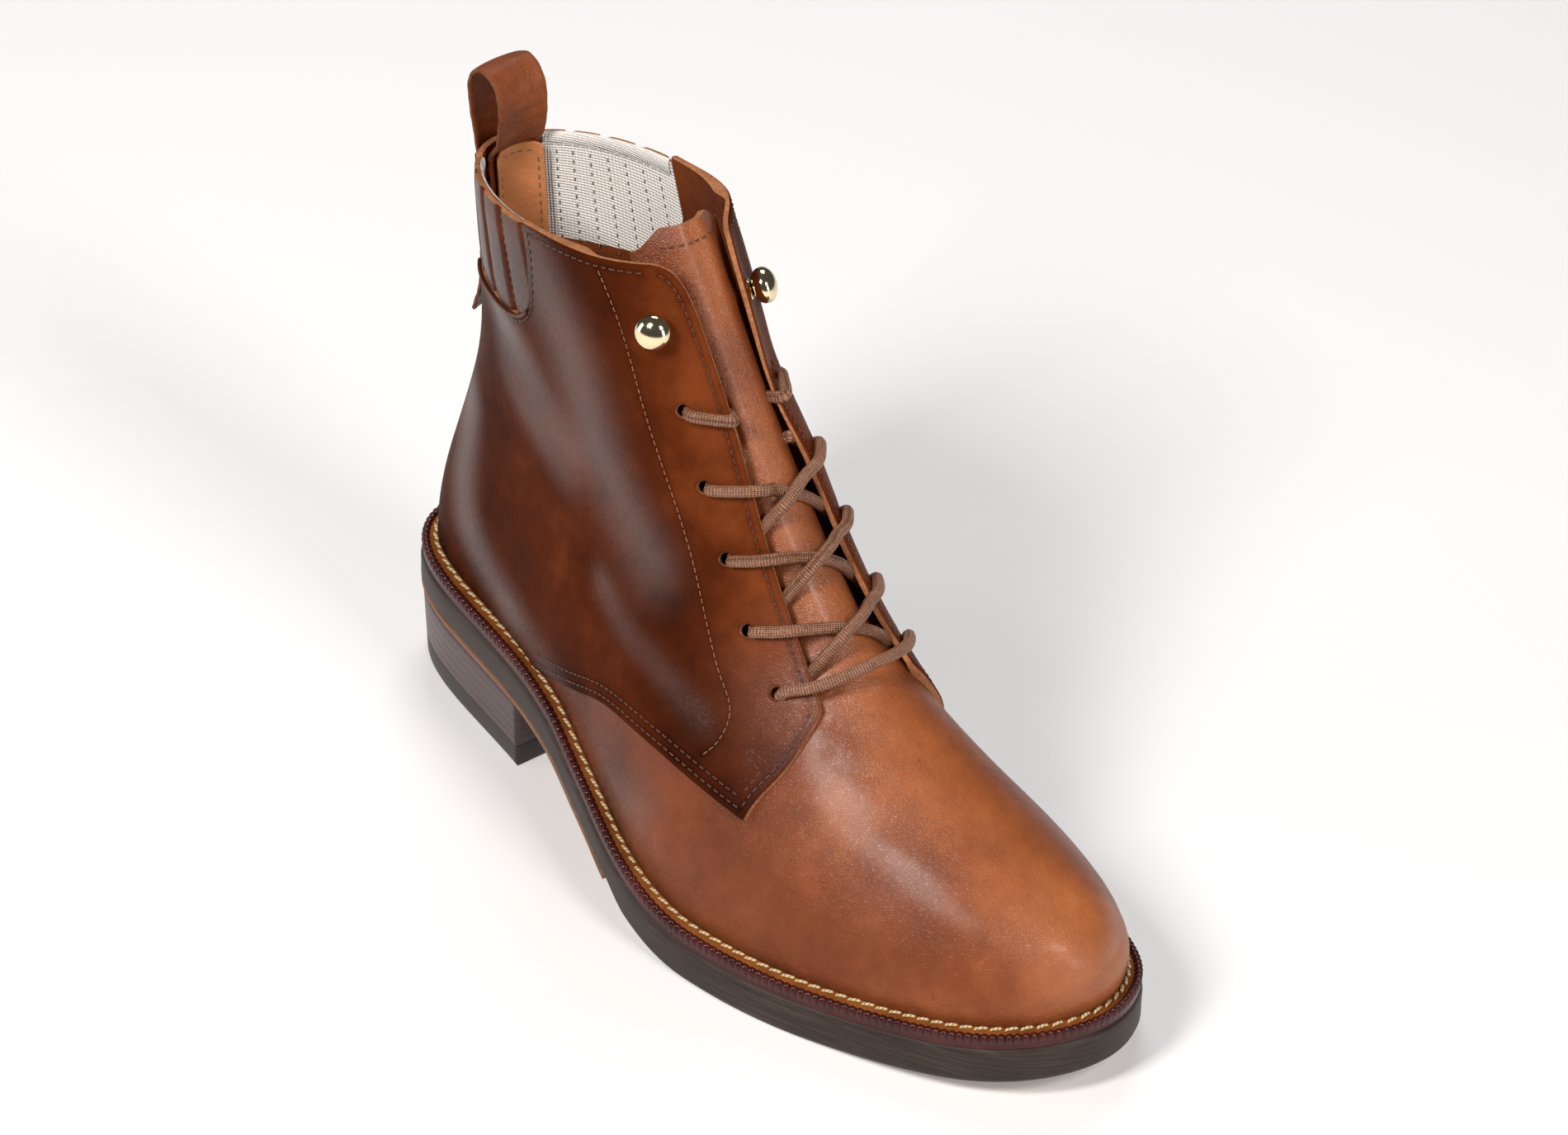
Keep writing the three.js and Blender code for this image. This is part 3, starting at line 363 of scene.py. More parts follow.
# Where the leather is polished brighter: places, half width, how much
SHINES = [
    ([(0.99, 84), (0.93, 90), (0.84, 98), (0.76, 100), (0.69, 102), (0.64, 106), (0.6, 110)],
     9, 0.75),
    ([(0.85, 52), (0.79, 60), (0.746, 67), (0.70, 76), (0.67, 86)], 8, 0.8),
    ([(0.49, 90), (0.465, 96), (0.45, 103), (0.421, 113)], 4, 0.45),
    ([(0.49, 31), (0.383, 34), (0.262, 38), (0.17, 46), (0.10, 55)], 6, 0.75),
    ([(0.10, 55), (0.06, 66), (0.08, 80), (0.14, 90), (0.19, 94)], 7, 0.45),
    ([(0.52, 150), (0.47, 150), (0.42, 150), (0.34, 151)], 18, 0.75),
    ([(0.20, 172), (0.17, 176), (0.15, 180)], 17, 0.7),
]
lean_lines = followed(LEANS)
fold_lines = followed(FOLDS) + lean_lines
shine_lines = followed(SHINES)


def shine(points):
    return np.minimum(near_bands(points, shine_lines, SHINE_REACH), 1)


def skin(level, turn, lift=0.0):
    """Points of the leather's outer face, with its folds."""
    level, turn = np.broadcast_arrays(np.asarray(level, float), np.asarray(turn, float))
    base = last(level, turn)
    height = lift - near_bands(base.reshape(-1, 3), fold_lines, FOLD_REACH).reshape(level.shape)
    return base + normal(level, turn) * height[..., None]


# Meshes
def mesh_object(name, points, faces, materials, which=None, uv=None, tone=None, gloss=None,
                slot=None, replaces=()):
    """A piece that rides on the boot. which picks each face's material, uv, tone and gloss go by
    point."""
    mesh = bpy.data.meshes.new(name)
    mesh.from_pydata((np.asarray(points).reshape(-1, 3) * MM).tolist(), [],
                     [list(map(int, face)) for face in faces])
    for material in materials:
        mesh.materials.append(material)
    mesh.polygons.foreach_set("use_smooth", np.full(len(mesh.polygons), True))
    if which is not None:
        mesh.polygons.foreach_set("material_index", np.asarray(which, np.int32))
    if uv is not None:
        corner = np.zeros(len(mesh.loops), np.int32)
        mesh.loops.foreach_get("vertex_index", corner)
        layer = mesh.uv_layers.new(name="UVMap")
        layer.data.foreach_set("uv", np.asarray(uv, np.float32)[corner].ravel())
    for key, values in (("tone", tone), ("gloss", gloss)):
        if values is not None:
            layer = mesh.attributes.new(key, "FLOAT", "POINT")
            layer.data.foreach_set("value", np.asarray(values, np.float32))
    mesh.validate()
    obj = bpy.data.objects.new(name, mesh)
    bpy.context.scene.collection.objects.link(obj)
    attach(obj, "root")
    if replaces:
        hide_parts(*replaces)


def quads(rows, cols, wrap=False, start=0):
    row = np.arange(rows - 1)[:, None] * cols
    col = np.arange(cols if wrap else cols - 1)[None]
    after = (col + 1) % cols
    faces = np.stack([row + col, row + after, row + cols + after, row + cols + col], -1)
    return faces.reshape(-1, 4) + start


def slab(outer, inner):
    """A closed sheet between two grids of points: faces, points, and 0 outer, 1 edge, 2 inner."""
    rows, cols = outer.shape[:2]
    count = rows * cols
    grid = np.arange(count).reshape(rows, cols)
    border = np.concatenate([grid[0, :-1], grid[:-1, -1], grid[-1, :0:-1], grid[:0:-1, 0]])
    points = [outer.reshape(-1, 3), inner.reshape(-1, 3)]
    rim = [p[border] for p in points]
    around = len(border)
    faces = [quads(rows, cols), quads(rows, cols, start=count)[:, ::-1]]
    wall = quads(2, around, wrap=True, start=2 * count)[:, ::-1]
    which = np.concatenate([np.zeros(len(faces[0])), np.full(len(faces[1]), 2),
                            np.ones(len(wall))])
    return np.concatenate(points + rim), np.concatenate(faces + [wall]), which


def filled(values, count, rest):
    """Values for the first points of a piece, and one value for the rest of its points."""
    return np.append(values, np.full(count - np.size(values), rest))


def inside(places, loop):
    """Whether each place lies inside a closed loop of places."""
    x, y = places[:, 1, None], places[:, 0, None]
    x0, y0 = loop[None, :, 1], loop[None, :, 0]
    x1, y1 = np.roll(x0, -1, 1), np.roll(y0, -1, 1)
    spans = (y0 > y) != (y1 > y)
    run = np.where(y1 == y0, 1, y1 - y0)
    return (spans & (x < (x1 - x0) * (y - y0) / run + x0)).sum(1) % 2 == 1


# inset, drop
EDGE_PROFILE = [(0, 0.5), (0.22, 0.2), (0.5, 0.05), (0.95, 0)]
# Millimetres to a level and to a degree, roughly
METRIC = np.array([150.0, 1.0])
PANEL_GAP = 1.7
# A panel's inner points keep this far from its seams and from its edges
SEAM_CLEAR, EDGE_CLEAR = 2.0, 1.25
SEAM_ROWS = (-1.3, -0.65, 0, 0.65, 1.3)
GROOVE_DEPTH, GROOVE_WIDTH = 0.16, 0.8
EDGE_JITTER = 0.1


def triangulated(places, rims):
    """Triangles between places, inside the first rim and outside the others."""
    flat = places * METRIC
    edges, start = [], 0
    for rim in rims:
        count = len(rim)
        edges += [(start + i, start + (i + 1) % count) for i in range(count)]
        start += count
    flat_points = [Vector((p[1], p[0])) for p in flat]
    _, _, triangles, origin, _, _ = delaunay_2d_cdt(flat_points, edges, [], 0, 1e-6)
    source = np.array([o[0] for o in origin])
    triangles = source[np.array([list(t) for t in triangles])]
    middle = places[triangles].mean(1)
    good = inside(middle, rims[0])
    for rim in rims[1:]:
        good &= ~inside(middle, rim)
    triangles = triangles[good]
    area = np.cross(flat[triangles[:, 1]] - flat[triangles[:, 0]],
                    flat[triangles[:, 2]] - flat[triangles[:, 0]])
    triangles[area > 0] = triangles[area > 0][:, ::-1]
    return triangles


def panel(name, loop, lift, under, materials, holes, seams, tone, replaces):
    """A leather panel inside a loop of places, with cut edges, holes and grooves under seams."""
    rims = [loop] + [hole[::-1] for hole in holes]
    rim_points = last(*np.concatenate(rims).T)
    seam_points = last(*np.concatenate(seams).T)
    places, drops = [], []
    for inset, drop in EDGE_PROFILE:
        for rim in rims:
            places.append(beside(rim, inset, closed=True) if inset else rim)
            drops.append(np.full(len(rim), drop))
    low, high = loop.min(0), loop.max(0)
    level_step = PANEL_GAP / METRIC[0]
    levels = np.arange(low[0] + level_step / 2, high[0], level_step)
    turns = np.arange(low[1] + 0.8, high[1], PANEL_GAP)
    grid = np.stack(np.meshgrid(levels, turns, indexing="ij"), -1).reshape(-1, 2)
    grid = grid[nearest(last(*grid.T), seam_points) > SEAM_CLEAR]
    loose = np.concatenate([beside(seam, row) for seam in seams for row in SEAM_ROWS] + [grid])
    loose = loose[inside(loose, loop)]
    loose = loose[nearest(last(*loose.T), rim_points) > EDGE_CLEAR]
    places = np.concatenate(places + [loose])
    drop = np.concatenate(drops + [np.zeros(len(loose))])
    seam_near = nearest(last(*places.T), seam_points)
    drop += GROOVE_DEPTH * np.exp(-(seam_near / GROOVE_WIDTH) ** 2)
    triangles = triangulated(places, rims)
    level, turn = places.T
    outer = skin(level, turn, lift(level, turn) - drop)
    bottom = skin(level, turn, under(level, turn))
    count = len(places)
    points = [outer, bottom]
    faces = [list(t) for t in triangles] + [list(t[::-1] + count) for t in triangles]
    which = [0] * len(triangles) + [2] * len(triangles)
    start, base = 0, 2 * count
    for rim in rims:
        size = len(rim)
        top, foot = outer[start:start + size], bottom[start:start + size]
        jitter = rng.normal(0, EDGE_JITTER, (size, 1)) * normal(*rim.T)
        bulge = 0.25 * np.cross(tangent(top, True), normal(*rim.T))
        points += [foot, (top + foot) / 2 + bulge + jitter, top]
        wall = quads(3, size, wrap=True, start=base)
        faces += [list(f) for f in wall]
        which += [1] * len(wall)
        start += size
        base += 3 * size
    points = np.concatenate(points)
    # Darker towards the cut edges, and darker along the seams: there partly burnished leather,
    # partly painted shade in the grooves under the stitches.
    value = tone(level, turn) - 0.07 * np.exp(-nearest(outer, rim_points) / 1.6)
    value -= 0.1 * np.exp(-(seam_near / 0.7) ** 2)
    polish = 0.01 + 0.75 * shine(outer)
    mesh_object(name, points, faces, materials, which, tone=filled(value, len(points), 0.5),
                gloss=filled(polish, len(points), 0.3), slot="upper_leather", replaces=replaces)


def run_of(line, lift):
    """Points and normals along a line of places, for stitches."""
    level, turn = line.T
    return skin(level, turn, lift(level, turn) if callable(lift) else lift), normal(level, turn)


def sew(name, runs, pitch, size, material, skew=0.0, sink=0.35, sides=6, stations=7,
        slot="upper_leather", fill=0.86):
    """Stitches along runs of (points, normals): size is (width, height), pitch the distance
    between holes, sink how deep their ends go and fill the share of the pitch that shows."""
    t = np.linspace(-1, 1, stations)
    ring = round_angles(sides)
    belly = np.sqrt(np.clip(1 - t ** 4, 0.04, 1))
    shape = np.stack([
        np.repeat(t, sides) * pitch * fill / 2,
        np.outer(belly, np.cos(ring)).ravel() * size[0] / 2,
        np.outer(belly, np.sin(ring)).ravel() * size[1] / 2 - np.repeat(t ** 4, sides) * sink,
    ], 1)
    base_faces = quads(stations, sides, wrap=True)
    ends = np.array([list(range(sides)), list(range((stations - 1) * sides, stations * sides))])
    verts, faces, total = [], [], 0
    turn_by = math.radians(skew)
    for points, normals in runs:
        run = way_along(points)
        count = max(1, int(run[-1] / pitch))
        at = (np.arange(count) + 0.5) * run[-1] / count
        centre = line_at(points, run, at)
        up = unit(line_at(normals, run, at))
        ahead = line_at(points, run, at + 0.3) - line_at(points, run, at - 0.3)
        ahead = unit(ahead - (ahead * up).sum(1)[:, None] * up)
        left = np.cross(up, ahead)
        way = math.cos(turn_by) * ahead + math.sin(turn_by) * left
        left = np.cross(up, way)
        wobble = rng.normal(1, 0.05, (count, 1, 1))
        block = (centre[:, None] + shape[None, :, :1] * wobble * way[:, None]
                 + shape[None, :, 1:2] * left[:, None] + shape[None, :, 2:] * up[:, None])
        verts.append(block.reshape(-1, 3))
        starts = total + np.arange(count) * len(shape)
        faces += [f for s in starts for f in (base_faces + s).tolist()]
        faces += [f for s in starts for f in ((ends[0] + s)[::-1].tolist(), (ends[1] + s).tolist())]
        total += count * len(shape)
    uv = np.tile(np.stack([np.repeat(t, sides), np.tile(ring, stations)], 1),
                 (total // len(shape), 1))
    mesh_object(name, np.concatenate(verts), faces, [material], uv=uv, slot=slot)


# Materials
class Shading:
    """A new material, and helpers that add the nodes that feed its shader."""

    def __init__(self, name):
        self.material = bpy.data.materials.new(name)
        self.material.use_nodes = True
        self.nodes = self.material.node_tree.nodes
        self.shader = self.nodes["Principled BSDF"]
        self.where = self.node("TexCoord").outputs["Object"]

    def feed(self, socket, value):
        if isinstance(value, bpy.types.NodeSocket):
            self.material.node_tree.links.new(value, socket)
        else:
            socket.default_value = value

    def node(self, kind, inputs=(), **settings):
        made = self.nodes.new("ShaderNode" + kind)
        for key, value in settings.items():
            setattr(made, key, value)
        for key, value in dict(inputs).items():
            self.feed(made.inputs[key], value)
        return made

    def out(self, key, value):
        self.feed(self.shader.inputs[key], value)

    def calc(self, operation, a, b=0.0, clamp=False):
        made = self.node("Math", {0: a, 1: b}, operation=operation, use_clamp=clamp)
        return made.outputs[0]

    def blend(self, *layers):
        """The sum of layers, each of them a value and its share."""
        total = None
        for value, share in layers:
            part = self.calc("MULTIPLY", value, share)
            total = self.calc("ADD", total, part) if total else part
        return total

    def uv(self):
        """The two coordinates of the UV map."""
        split = self.node("SeparateXYZ", {"Vector": self.node("TexCoord").outputs["UV"]})
        return split.outputs[0], split.outputs[1]

    def ramp(self, value, stops):
        made = self.node("ValToRGB", {"Fac": value})
        elements = made.color_ramp.elements
        while len(elements) < len(stops):
            elements.new(0.5)
        for element, (place, color) in zip(elements, stops):
            element.position = place
            element.color = (*color, 1)
        return made.outputs["Color"]

    def noise(self, scale, detail=2.0, rough=0.5, stretch=None):
        where = self.where
        if stretch:
            where = self.node("Mapping", {"Vector": where, "Scale": stretch}).outputs[0]
        return self.node("TexNoise", {"Vector": where, "Scale": scale, "Detail": detail,
                                      "Roughness": rough}).outputs["Fac"]

    def bumps(self, *layers):
        """Layers of (height, distance in metres, strength), one over the other."""
        last_normal = None
        for height, distance, strength in layers:
            inputs = {"Height": height, "Distance": distance, "Strength": strength}
            if last_normal:
                inputs["Normal"] = last_normal
            last_normal = self.node("Bump", inputs).outputs["Normal"]
        self.out("Normal", last_normal)


MOTTLE = 0.3


def leather_material(name, stops, roughness, coat=0.25, use_tone=True, specular=0.5):
    """Grained leather whose colour and polish follow the tone and gloss of its points."""
    kit = Shading(name)
    cloud = kit.calc("SUBTRACT", kit.noise(28, 3, 0.6), 0.5)
    fleck = kit.calc("SUBTRACT", kit.noise(190, 4, 0.7), 0.5)
    tone = kit.node("Attribute", attribute_name="tone").outputs["Fac"] if use_tone else 0.5
    value = kit.calc("ADD", kit.blend((cloud, MOTTLE * 2), (fleck, MOTTLE * 0.55)), tone)
    pore = kit.node("TexVoronoi", {"Vector": kit.where, "Scale": 1500.0}, feature="DISTANCE_TO_EDGE")
    pore_height = kit.calc("MINIMUM", pore.outputs["Distance"], 0.28)
    spots = kit.calc("MULTIPLY", kit.calc("SUBTRACT", kit.noise(420, 2, 0.5), 0.68), 8.0, clamp=True)
    value = kit.calc("SUBTRACT", value, kit.calc("MULTIPLY", spots, 0.1))
    kit.out("Base Color", kit.ramp(value, stops))
    rough = kit.calc("ADD", kit.calc("MULTIPLY", kit.noise(75, 3, 0.6), 0.14), roughness - 0.07)
    kit.out("Roughness", rough)
    if use_tone:
        polish = kit.node("Attribute", attribute_name="gloss").outputs["Fac"]
        kit.out("Specular IOR Level", kit.calc("MULTIPLY", polish, specular * 1.5))
        kit.out("Coat Weight", kit.calc("MULTIPLY", polish, coat))
        kit.out("Coat Roughness", 0.24)
    else:
        kit.out("Specular IOR Level", specular)
    kit.bumps((kit.noise(45, 2, 0.5), 0.0010, 0.2), (kit.noise(520, 3, 0.6), 0.0004, 0.7),
              (pore_height, 0.0003, 0.8))
    return kit.material


BROWN = [(0.05, (0.016, 0.0028, 0.0008)), (0.3, (0.076, 0.0145, 0.0035)),
         (0.55, (0.195, 0.046, 0.0125)), (0.8, (0.38, 0.112, 0.032)), (1.0, (0.54, 0.2, 0.075))]
TAN = [(0.1, (0.28, 0.09, 0.026)), (0.5, (0.58, 0.215, 0.075)), (0.9, (0.72, 0.34, 0.15))]

upper_leather = leather_material("upper_leather", BROWN, roughness=0.36)
tongue_leather = leather_material("tongue_leather", BROWN, roughness=0.38)
lining_leather = leather_material("lining_leather", TAN, roughness=0.6, coat=0.0, use_tone=False)
# The quarters' inner face: a brown darker than the tan lining, partly its own colour and partly
# painted shade inside the boot.
quarter_lining = leather_material("quarter_lining", BROWN, roughness=0.6, coat=0.0, use_tone=False,
                                  specular=0.15)
strap_leather = leather_material("strap_leather", BROWN, roughness=0.42, coat=0.1)


def suede_material(name, dark, light):
    """Leather's cut edge or flesh side: fibres, with no shine."""
    kit = Shading(name)
    fibre = kit.noise(900, 4, 0.75)
    value = kit.blend((fibre, 0.7), (kit.noise(150, 2), 0.3))
    kit.out("Base Color", kit.ramp(value, [(0.32, dark), (0.68, light)]))
    kit.out("Roughness", 0.88)
    kit.out("Specular IOR Level", 0.2)
    kit.bumps((fibre, 0.0004, 0.8),)
    return kit.material


raw_edge = suede_material("raw_edge", (0.19, 0.062, 0.022), (0.5, 0.215, 0.095))
dark_raw = suede_material("dark_raw", (0.06, 0.02, 0.01), (0.2, 0.075, 0.035))


THREAD_TWISTS = 3.0


def thread_material(name, color, shade=0.55, roughness=0.45, specular=0.25):
    """Twisted thread with painted shade in its valleys: their colour is the thread's times the
    shade.
    """
    kit = Shading(name)
    way, around = kit.uv()
    phase = kit.calc("ADD", kit.calc("MULTIPLY", way, THREAD_TWISTS * math.pi), around)
    strand = kit.calc("ADD", kit.calc("MULTIPLY", kit.calc("SINE", phase), 0.5), 0.5)
    dark = tuple(c * shade for c in color)
    value = kit.blend((strand, 0.7), (kit.noise(1200, 3, 0.7), 0.3))
    kit.out("Base Color", kit.ramp(value, [(0.15, dark), (0.75, color)]))
    kit.out("Roughness", roughness)
    kit.out("Specular IOR Level", specular)
    kit.bumps((strand, 0.00018, 0.8), (kit.noise(2500, 2), 0.00008, 0.5))
    return kit.material


brown_thread = thread_material("brown_thread", (0.13, 0.04, 0.02), shade=0.16, roughness=0.3,
                               specular=0.6)
light_thread = thread_material("light_thread", (0.42, 0.18, 0.09), shade=0.4)
cream_thread = thread_material("cream_thread", (0.74, 0.56, 0.32), shade=0.4)
grey_thread = thread_material("grey_thread", (0.66, 0.62, 0.55))
hem_thread = thread_material("hem_thread", (0.26, 0.19, 0.12))


def elastic_material():
    """Woven white elastic: ribs along the pull, weft across them."""
    kit = Shading("elastic")
    way, over = kit.uv()
    rib = kit.calc("SINE", kit.calc("MULTIPLY", way, 2 * math.pi / 0.62))
    weft = kit.calc("SINE", kit.calc("MULTIPLY", over, 2 * math.pi / 0.7))
    height = kit.blend((rib, 0.5), (weft, 0.4))
    # Painted shade: grey in the hollows of the weave, white on the ribs and weft.
    value = kit.calc("ADD", kit.calc("MULTIPLY", height, 0.32), 0.62)
    kit.out("Base Color", kit.ramp(value, [(0.2, (0.7, 0.68, 0.65)), (0.75, (0.97, 0.95, 0.92))]))
    kit.out("Roughness", 0.85)
    kit.bumps((height, 0.0003, 0.8),)
    return kit.material


elastic_cloth = elastic_material()


def edge_material(name, stops, streak=(1, 1, 26), roughness=0.5, depth=0.00022, coat=0.0,
                  scale=60.0, specular=0.4):
    """Stacked or trimmed leather seen on its edge: fine streaks that run along it."""
    kit = Shading(name)
    lines = kit.noise(scale, 5, 0.68, stretch=streak)
    cloud = kit.noise(22, 2)
    speck = kit.calc("GREATER_THAN", kit.noise(650, 2, 0.6), 0.69)
    value = kit.blend((lines, 0.75), (cloud, 0.25), (speck, 0.1))
    kit.out("Base Color", kit.ramp(value, stops))
    kit.out("Roughness", kit.calc("ADD", kit.calc("MULTIPLY", lines, 0.25), roughness - 0.12))
    kit.out("Specular IOR Level", specular)
    kit.out("Coat Weight", coat)
    kit.out("Coat Roughness", 0.25)
    kit.bumps((lines, depth, 0.6), (kit.noise(1100, 2), 0.00006, 0.4))
    return kit.material


EVEN = (1, 1, 1)
sole_edge = edge_material(
    "sole_edge", [(0.3, (0.014, 0.009, 0.0075)), (0.5, (0.03, 0.0195, 0.016)),
                  (0.7, (0.065, 0.043, 0.034))], specular=0.22)
sole_under = edge_material(
    "sole_under", [(0.3, (0.15, 0.085, 0.05)), (0.7, (0.32, 0.19, 0.115))],
    streak=EVEN, roughness=0.6)
waist_edge = edge_material(
    "waist_edge", [(0.3, (0.1, 0.042, 0.022)), (0.7, (0.26, 0.12, 0.065))])
heel_edge = edge_material(
    "heel_edge", [(0.3, (0.034, 0.017, 0.015)), (0.5, (0.056, 0.029, 0.026)),
                  (0.72, (0.092, 0.052, 0.045))],
    streak=(0.7, 0.7, 40), roughness=0.42, coat=0.15)
rubber = edge_material(
    "rubber", [(0.3, (0.02, 0.0155, 0.0135)), (0.7, (0.05, 0.038, 0.033))], streak=(1, 1, 14))
welt_leather = edge_material(
    "welt_leather", [(0.25, (0.08, 0.02, 0.0035)), (0.5, (0.19, 0.055, 0.009)),
                     (0.75, (0.3, 0.098, 0.019))],
    streak=EVEN, roughness=0.4, scale=90.0, depth=0.0001, specular=0.2)
bead_gloss = edge_material(
    "bead_gloss", [(0.25, (0.022, 0.0025, 0.002)), (0.5, (0.045, 0.006, 0.005)),
                   (0.75, (0.085, 0.014, 0.011))],
    streak=EVEN, roughness=0.18, depth=0.00008, specular=0.3)

BRAID_PITCH = 1.5


def lace_material():
    kit = Shading("lace_braid")
    way, angle = kit.uv()
    along = kit.calc("MULTIPLY", way, 2 * math.pi / BRAID_PITCH)
    around = kit.calc("MULTIPLY", angle, 8)
    weave = kit.calc("MULTIPLY", kit.calc("SINE", kit.calc("ADD", along, around)),
                     kit.calc("SINE", kit.calc("SUBTRACT", along, around)))
    # The colour follows the weave, lighter on its crests and darker in its hollows: painted
    # highlight and painted shade, over random flecks.
    value = kit.calc("ADD", kit.blend((weave, 0.3), (kit.noise(900, 3, 0.7), 0.6)), 0.2)
    kit.out("Base Color", kit.ramp(value, [(0.2, (0.06, 0.02, 0.009)),
                                           (0.5, (0.23, 0.092, 0.045)),
                                           (0.85, (0.52, 0.26, 0.15))]))
    kit.out("Roughness", 0.46)
    kit.out("Coat Weight", 0.12)
    kit.out("Coat Roughness", 0.3)
    kit.bumps((weave, 0.00025, 0.8), (kit.noise(2200, 2), 0.00008, 0.6))
    return kit.material


lace_braid = lace_material()


def metal_material(name, color, roughness, metallic=1.0):
    """Polished or painted metal with faint smudges."""
    kit = Shading(name)
    kit.out("Base Color", (*color, 1))
    kit.out("Metallic", metallic)
    smudge = kit.calc("MULTIPLY", kit.noise(400, 2), 0.08)
    kit.out("Roughness", kit.calc("ADD", smudge, roughness - 0.03))
    kit.bumps((kit.noise(500, 2), 0.00004, 0.3),)
    return kit.material


gold = metal_material("gold", (0.83, 0.72, 0.47), 0.1)
black_eyelet = metal_material("black_eyelet", (0.012, 0.012, 0.013), 0.16, 0.3)

# Lines of the upper, on the lateral side
corner = (0.300, 115.5)
throat = (0.512, 151.0)
bottom_line = curved([(0.002, 63), (0.10, 69), (0.194, 75.5), (0.262, 83), (0.300, 91.5),
                      (0.317, 103.5), corner], 0.9)
front_line = curved([corner, (0.331, 118.5), (0.394, 127.5), (0.463, 140), throat], 0.9)
facing_line = curved([throat, (0.58, 154), (0.64, 156), (0.70, 158), (0.80, 160.5),
                      (0.856, 160.5), (0.92, 159.2), (0.955, 158), (0.98, 155.5), (0.994, 151),
                      (0.999, 145)], 0.9)
collar_line = spaced([(0.999, 145), (1.0, 86)], 0.9)
gore_front = curved([(1.0, 86), (0.96, 85.3), (0.915, 83), (0.872, 80), (0.84, 74), (0.82, 62),
                     (0.808, 48), (0.802, 36), (0.8, 25)], 0.9)
strip_line = spaced([(0.8, 25), (1.0, 25)], 0.9)
back_collar = spaced([(1.0, 25), (1.0, 0)], 0.9)
back_line = spaced([(1.0, 0), (0.002, 0)], 0.9)
welt_line = spaced([(0.002, 0), (0.002, 63)], 0.9)
quarter_loop = np.concatenate([part[:-1] for part in (
    bottom_line, front_line, facing_line, collar_line, gore_front, strip_line, back_collar,
    back_line, welt_line)])
EYELETS = [(0.515, 138.5), (0.583, 137.5), (0.668, 139.5), (0.752, 140.5), (0.838, 141)]
STUD = (0.931, 140.5)
MEDIAL_STUD_LEVEL = 0.926
HOLE = 1.95


def circle(place, radius):
    """A round line of places, with its radius in millimetres."""
    level, turn = place
    angle = round_angles(28)
    out = normal(np.array(level), np.array(turn))
    side = unit(np.cross([0, 0, 1.0], out))
    basis = np.stack(gradients(level, turn), 1)
    ring = np.outer(np.cos(angle), side) + np.outer(np.sin(angle), np.cross(out, side))
    steps = np.linalg.lstsq(basis, (ring * radius).T, rcond=None)[0].T
    return np.array(place) + steps


def quarter_lift(level, turn):
    """The quarter lies a step over the vamp, and thins out towards the back."""
    degrees = np.minimum(turn, 360 - turn)
    start = 42 + 48 * smooth(level, 0.3, 0.6)
    step = 0.25 + (QUARTER - 0.25) * smooth(degrees, start, start + 30)
    facing = FACING_LIFT * smooth(degrees, 108, 132) * smooth(level, 0.42, 0.52)
    pinch = 0.55 * np.exp(-((level - 0.84) / 0.06) ** 2) * smooth(degrees, 140, 158)
    return step + facing - pinch


def quarter_under(level, turn):
    """The quarter's inner face: the wall's, and free of it under the facing."""
    degrees = np.minimum(turn, 360 - turn)
    free = smooth(degrees, 114, 124) * smooth(level, 0.46, 0.53)
    return -WALL + (WALL + FACING_LIFT) * free


# Lighter patches on the quarters: level, turn, radius in millimetres, how much
PATCHES = [(0.44, 82, 15, 0.11), (0.2, 66, 13, 0.08), (0.34, 93, 10, 0.07), (0.6, 104, 11, 0.05),
           (0.87, 152, 11, 0.09), (0.56, 134, 12, 0.09), (0.7, 128, 12, 0.03), (0.97, 100, 9, 0.05),
           (0.42, 124, 10, 0.07), (0.48, 140, 9, 0.05)]


def quarter_tone(level, turn):
    degrees = np.minimum(turn, 360 - turn)
    value = 0.2 + 0.12 * smooth(degrees, 106, 137) - 0.05 * smooth(level, 0.12, 0.0)
    value = value + 0.07 * smooth(degrees, 137, 150)
    points = last(level, degrees)
    for there, angle, radius, amount in PATCHES:
        away = np.linalg.norm(points - last(there, angle), axis=-1)
        value = value + amount * np.exp(-(away / radius) ** 2)
    return value


EDGE_SEAM = 2.1
ROW_GAP = 2.6
facing_seam = beside(facing_line, EDGE_SEAM)[3:-3]
collar_seam = beside(collar_line, EDGE_SEAM + 0.3)[2:-3]
front_seam = beside(front_line, EDGE_SEAM)[3:-2]
bottom_seam = beside(bottom_line, EDGE_SEAM)[2:-3]
bottom_seam_2 = beside(bottom_line, EDGE_SEAM + ROW_GAP)[3:-5]
gore_seam = beside(gore_front, 1.9)[2:]
light_seam = curved([(0.985, 122), (0.931, 125), (0.831, 126), (0.762, 127), (0.64, 127),
                     (0.556, 124.2), (0.5, 123.2), (0.456, 121.6), (0.431, 119), (0.395, 114.6),
                     (0.366, 110.6)], 0.9)
tack_seams = [spaced(pair, 0.7) for pair in (
    [(0.346, 117.7), (0.3924, 123.8)], [(0.3924, 123.8), (0.4029, 121.3)],
    [(0.4029, 121.3), (0.4166, 122.9)], [(0.4166, 122.9), (0.4048, 126.9)])]
front_seams = [facing_seam, collar_seam, front_seam, bottom_seam, bottom_seam_2, gore_seam]
for side_name, turned in SIDES:
    panel("quarter_" + side_name, turned(quarter_loop), quarter_lift, quarter_under,
          [upper_leather, raw_edge, quarter_lining],
          holes=[turned(circle(place, HOLE)) for place in EYELETS],
          seams=[turned(line) for line in front_seams + [light_seam]], tone=quarter_tone,
          replaces=("upper",))

# Vamp and tongue, cut in one
TONGUE_TOP = 1.013
TONGUE_BOW = 0.019
BOW_REACH = 56
TOP_SEAM_DROP = 0.019
SLIT_DEPTH, SLIT_WIDTH = 2.6, 0.9
VAMP_WALL = 1.8


def bowed(turn):
    """The share of the tongue's bow at a turn: its top edge is highest in the middle."""
    return TONGUE_BOW * (1 - ((turn - 180) / BOW_REACH) ** 2)


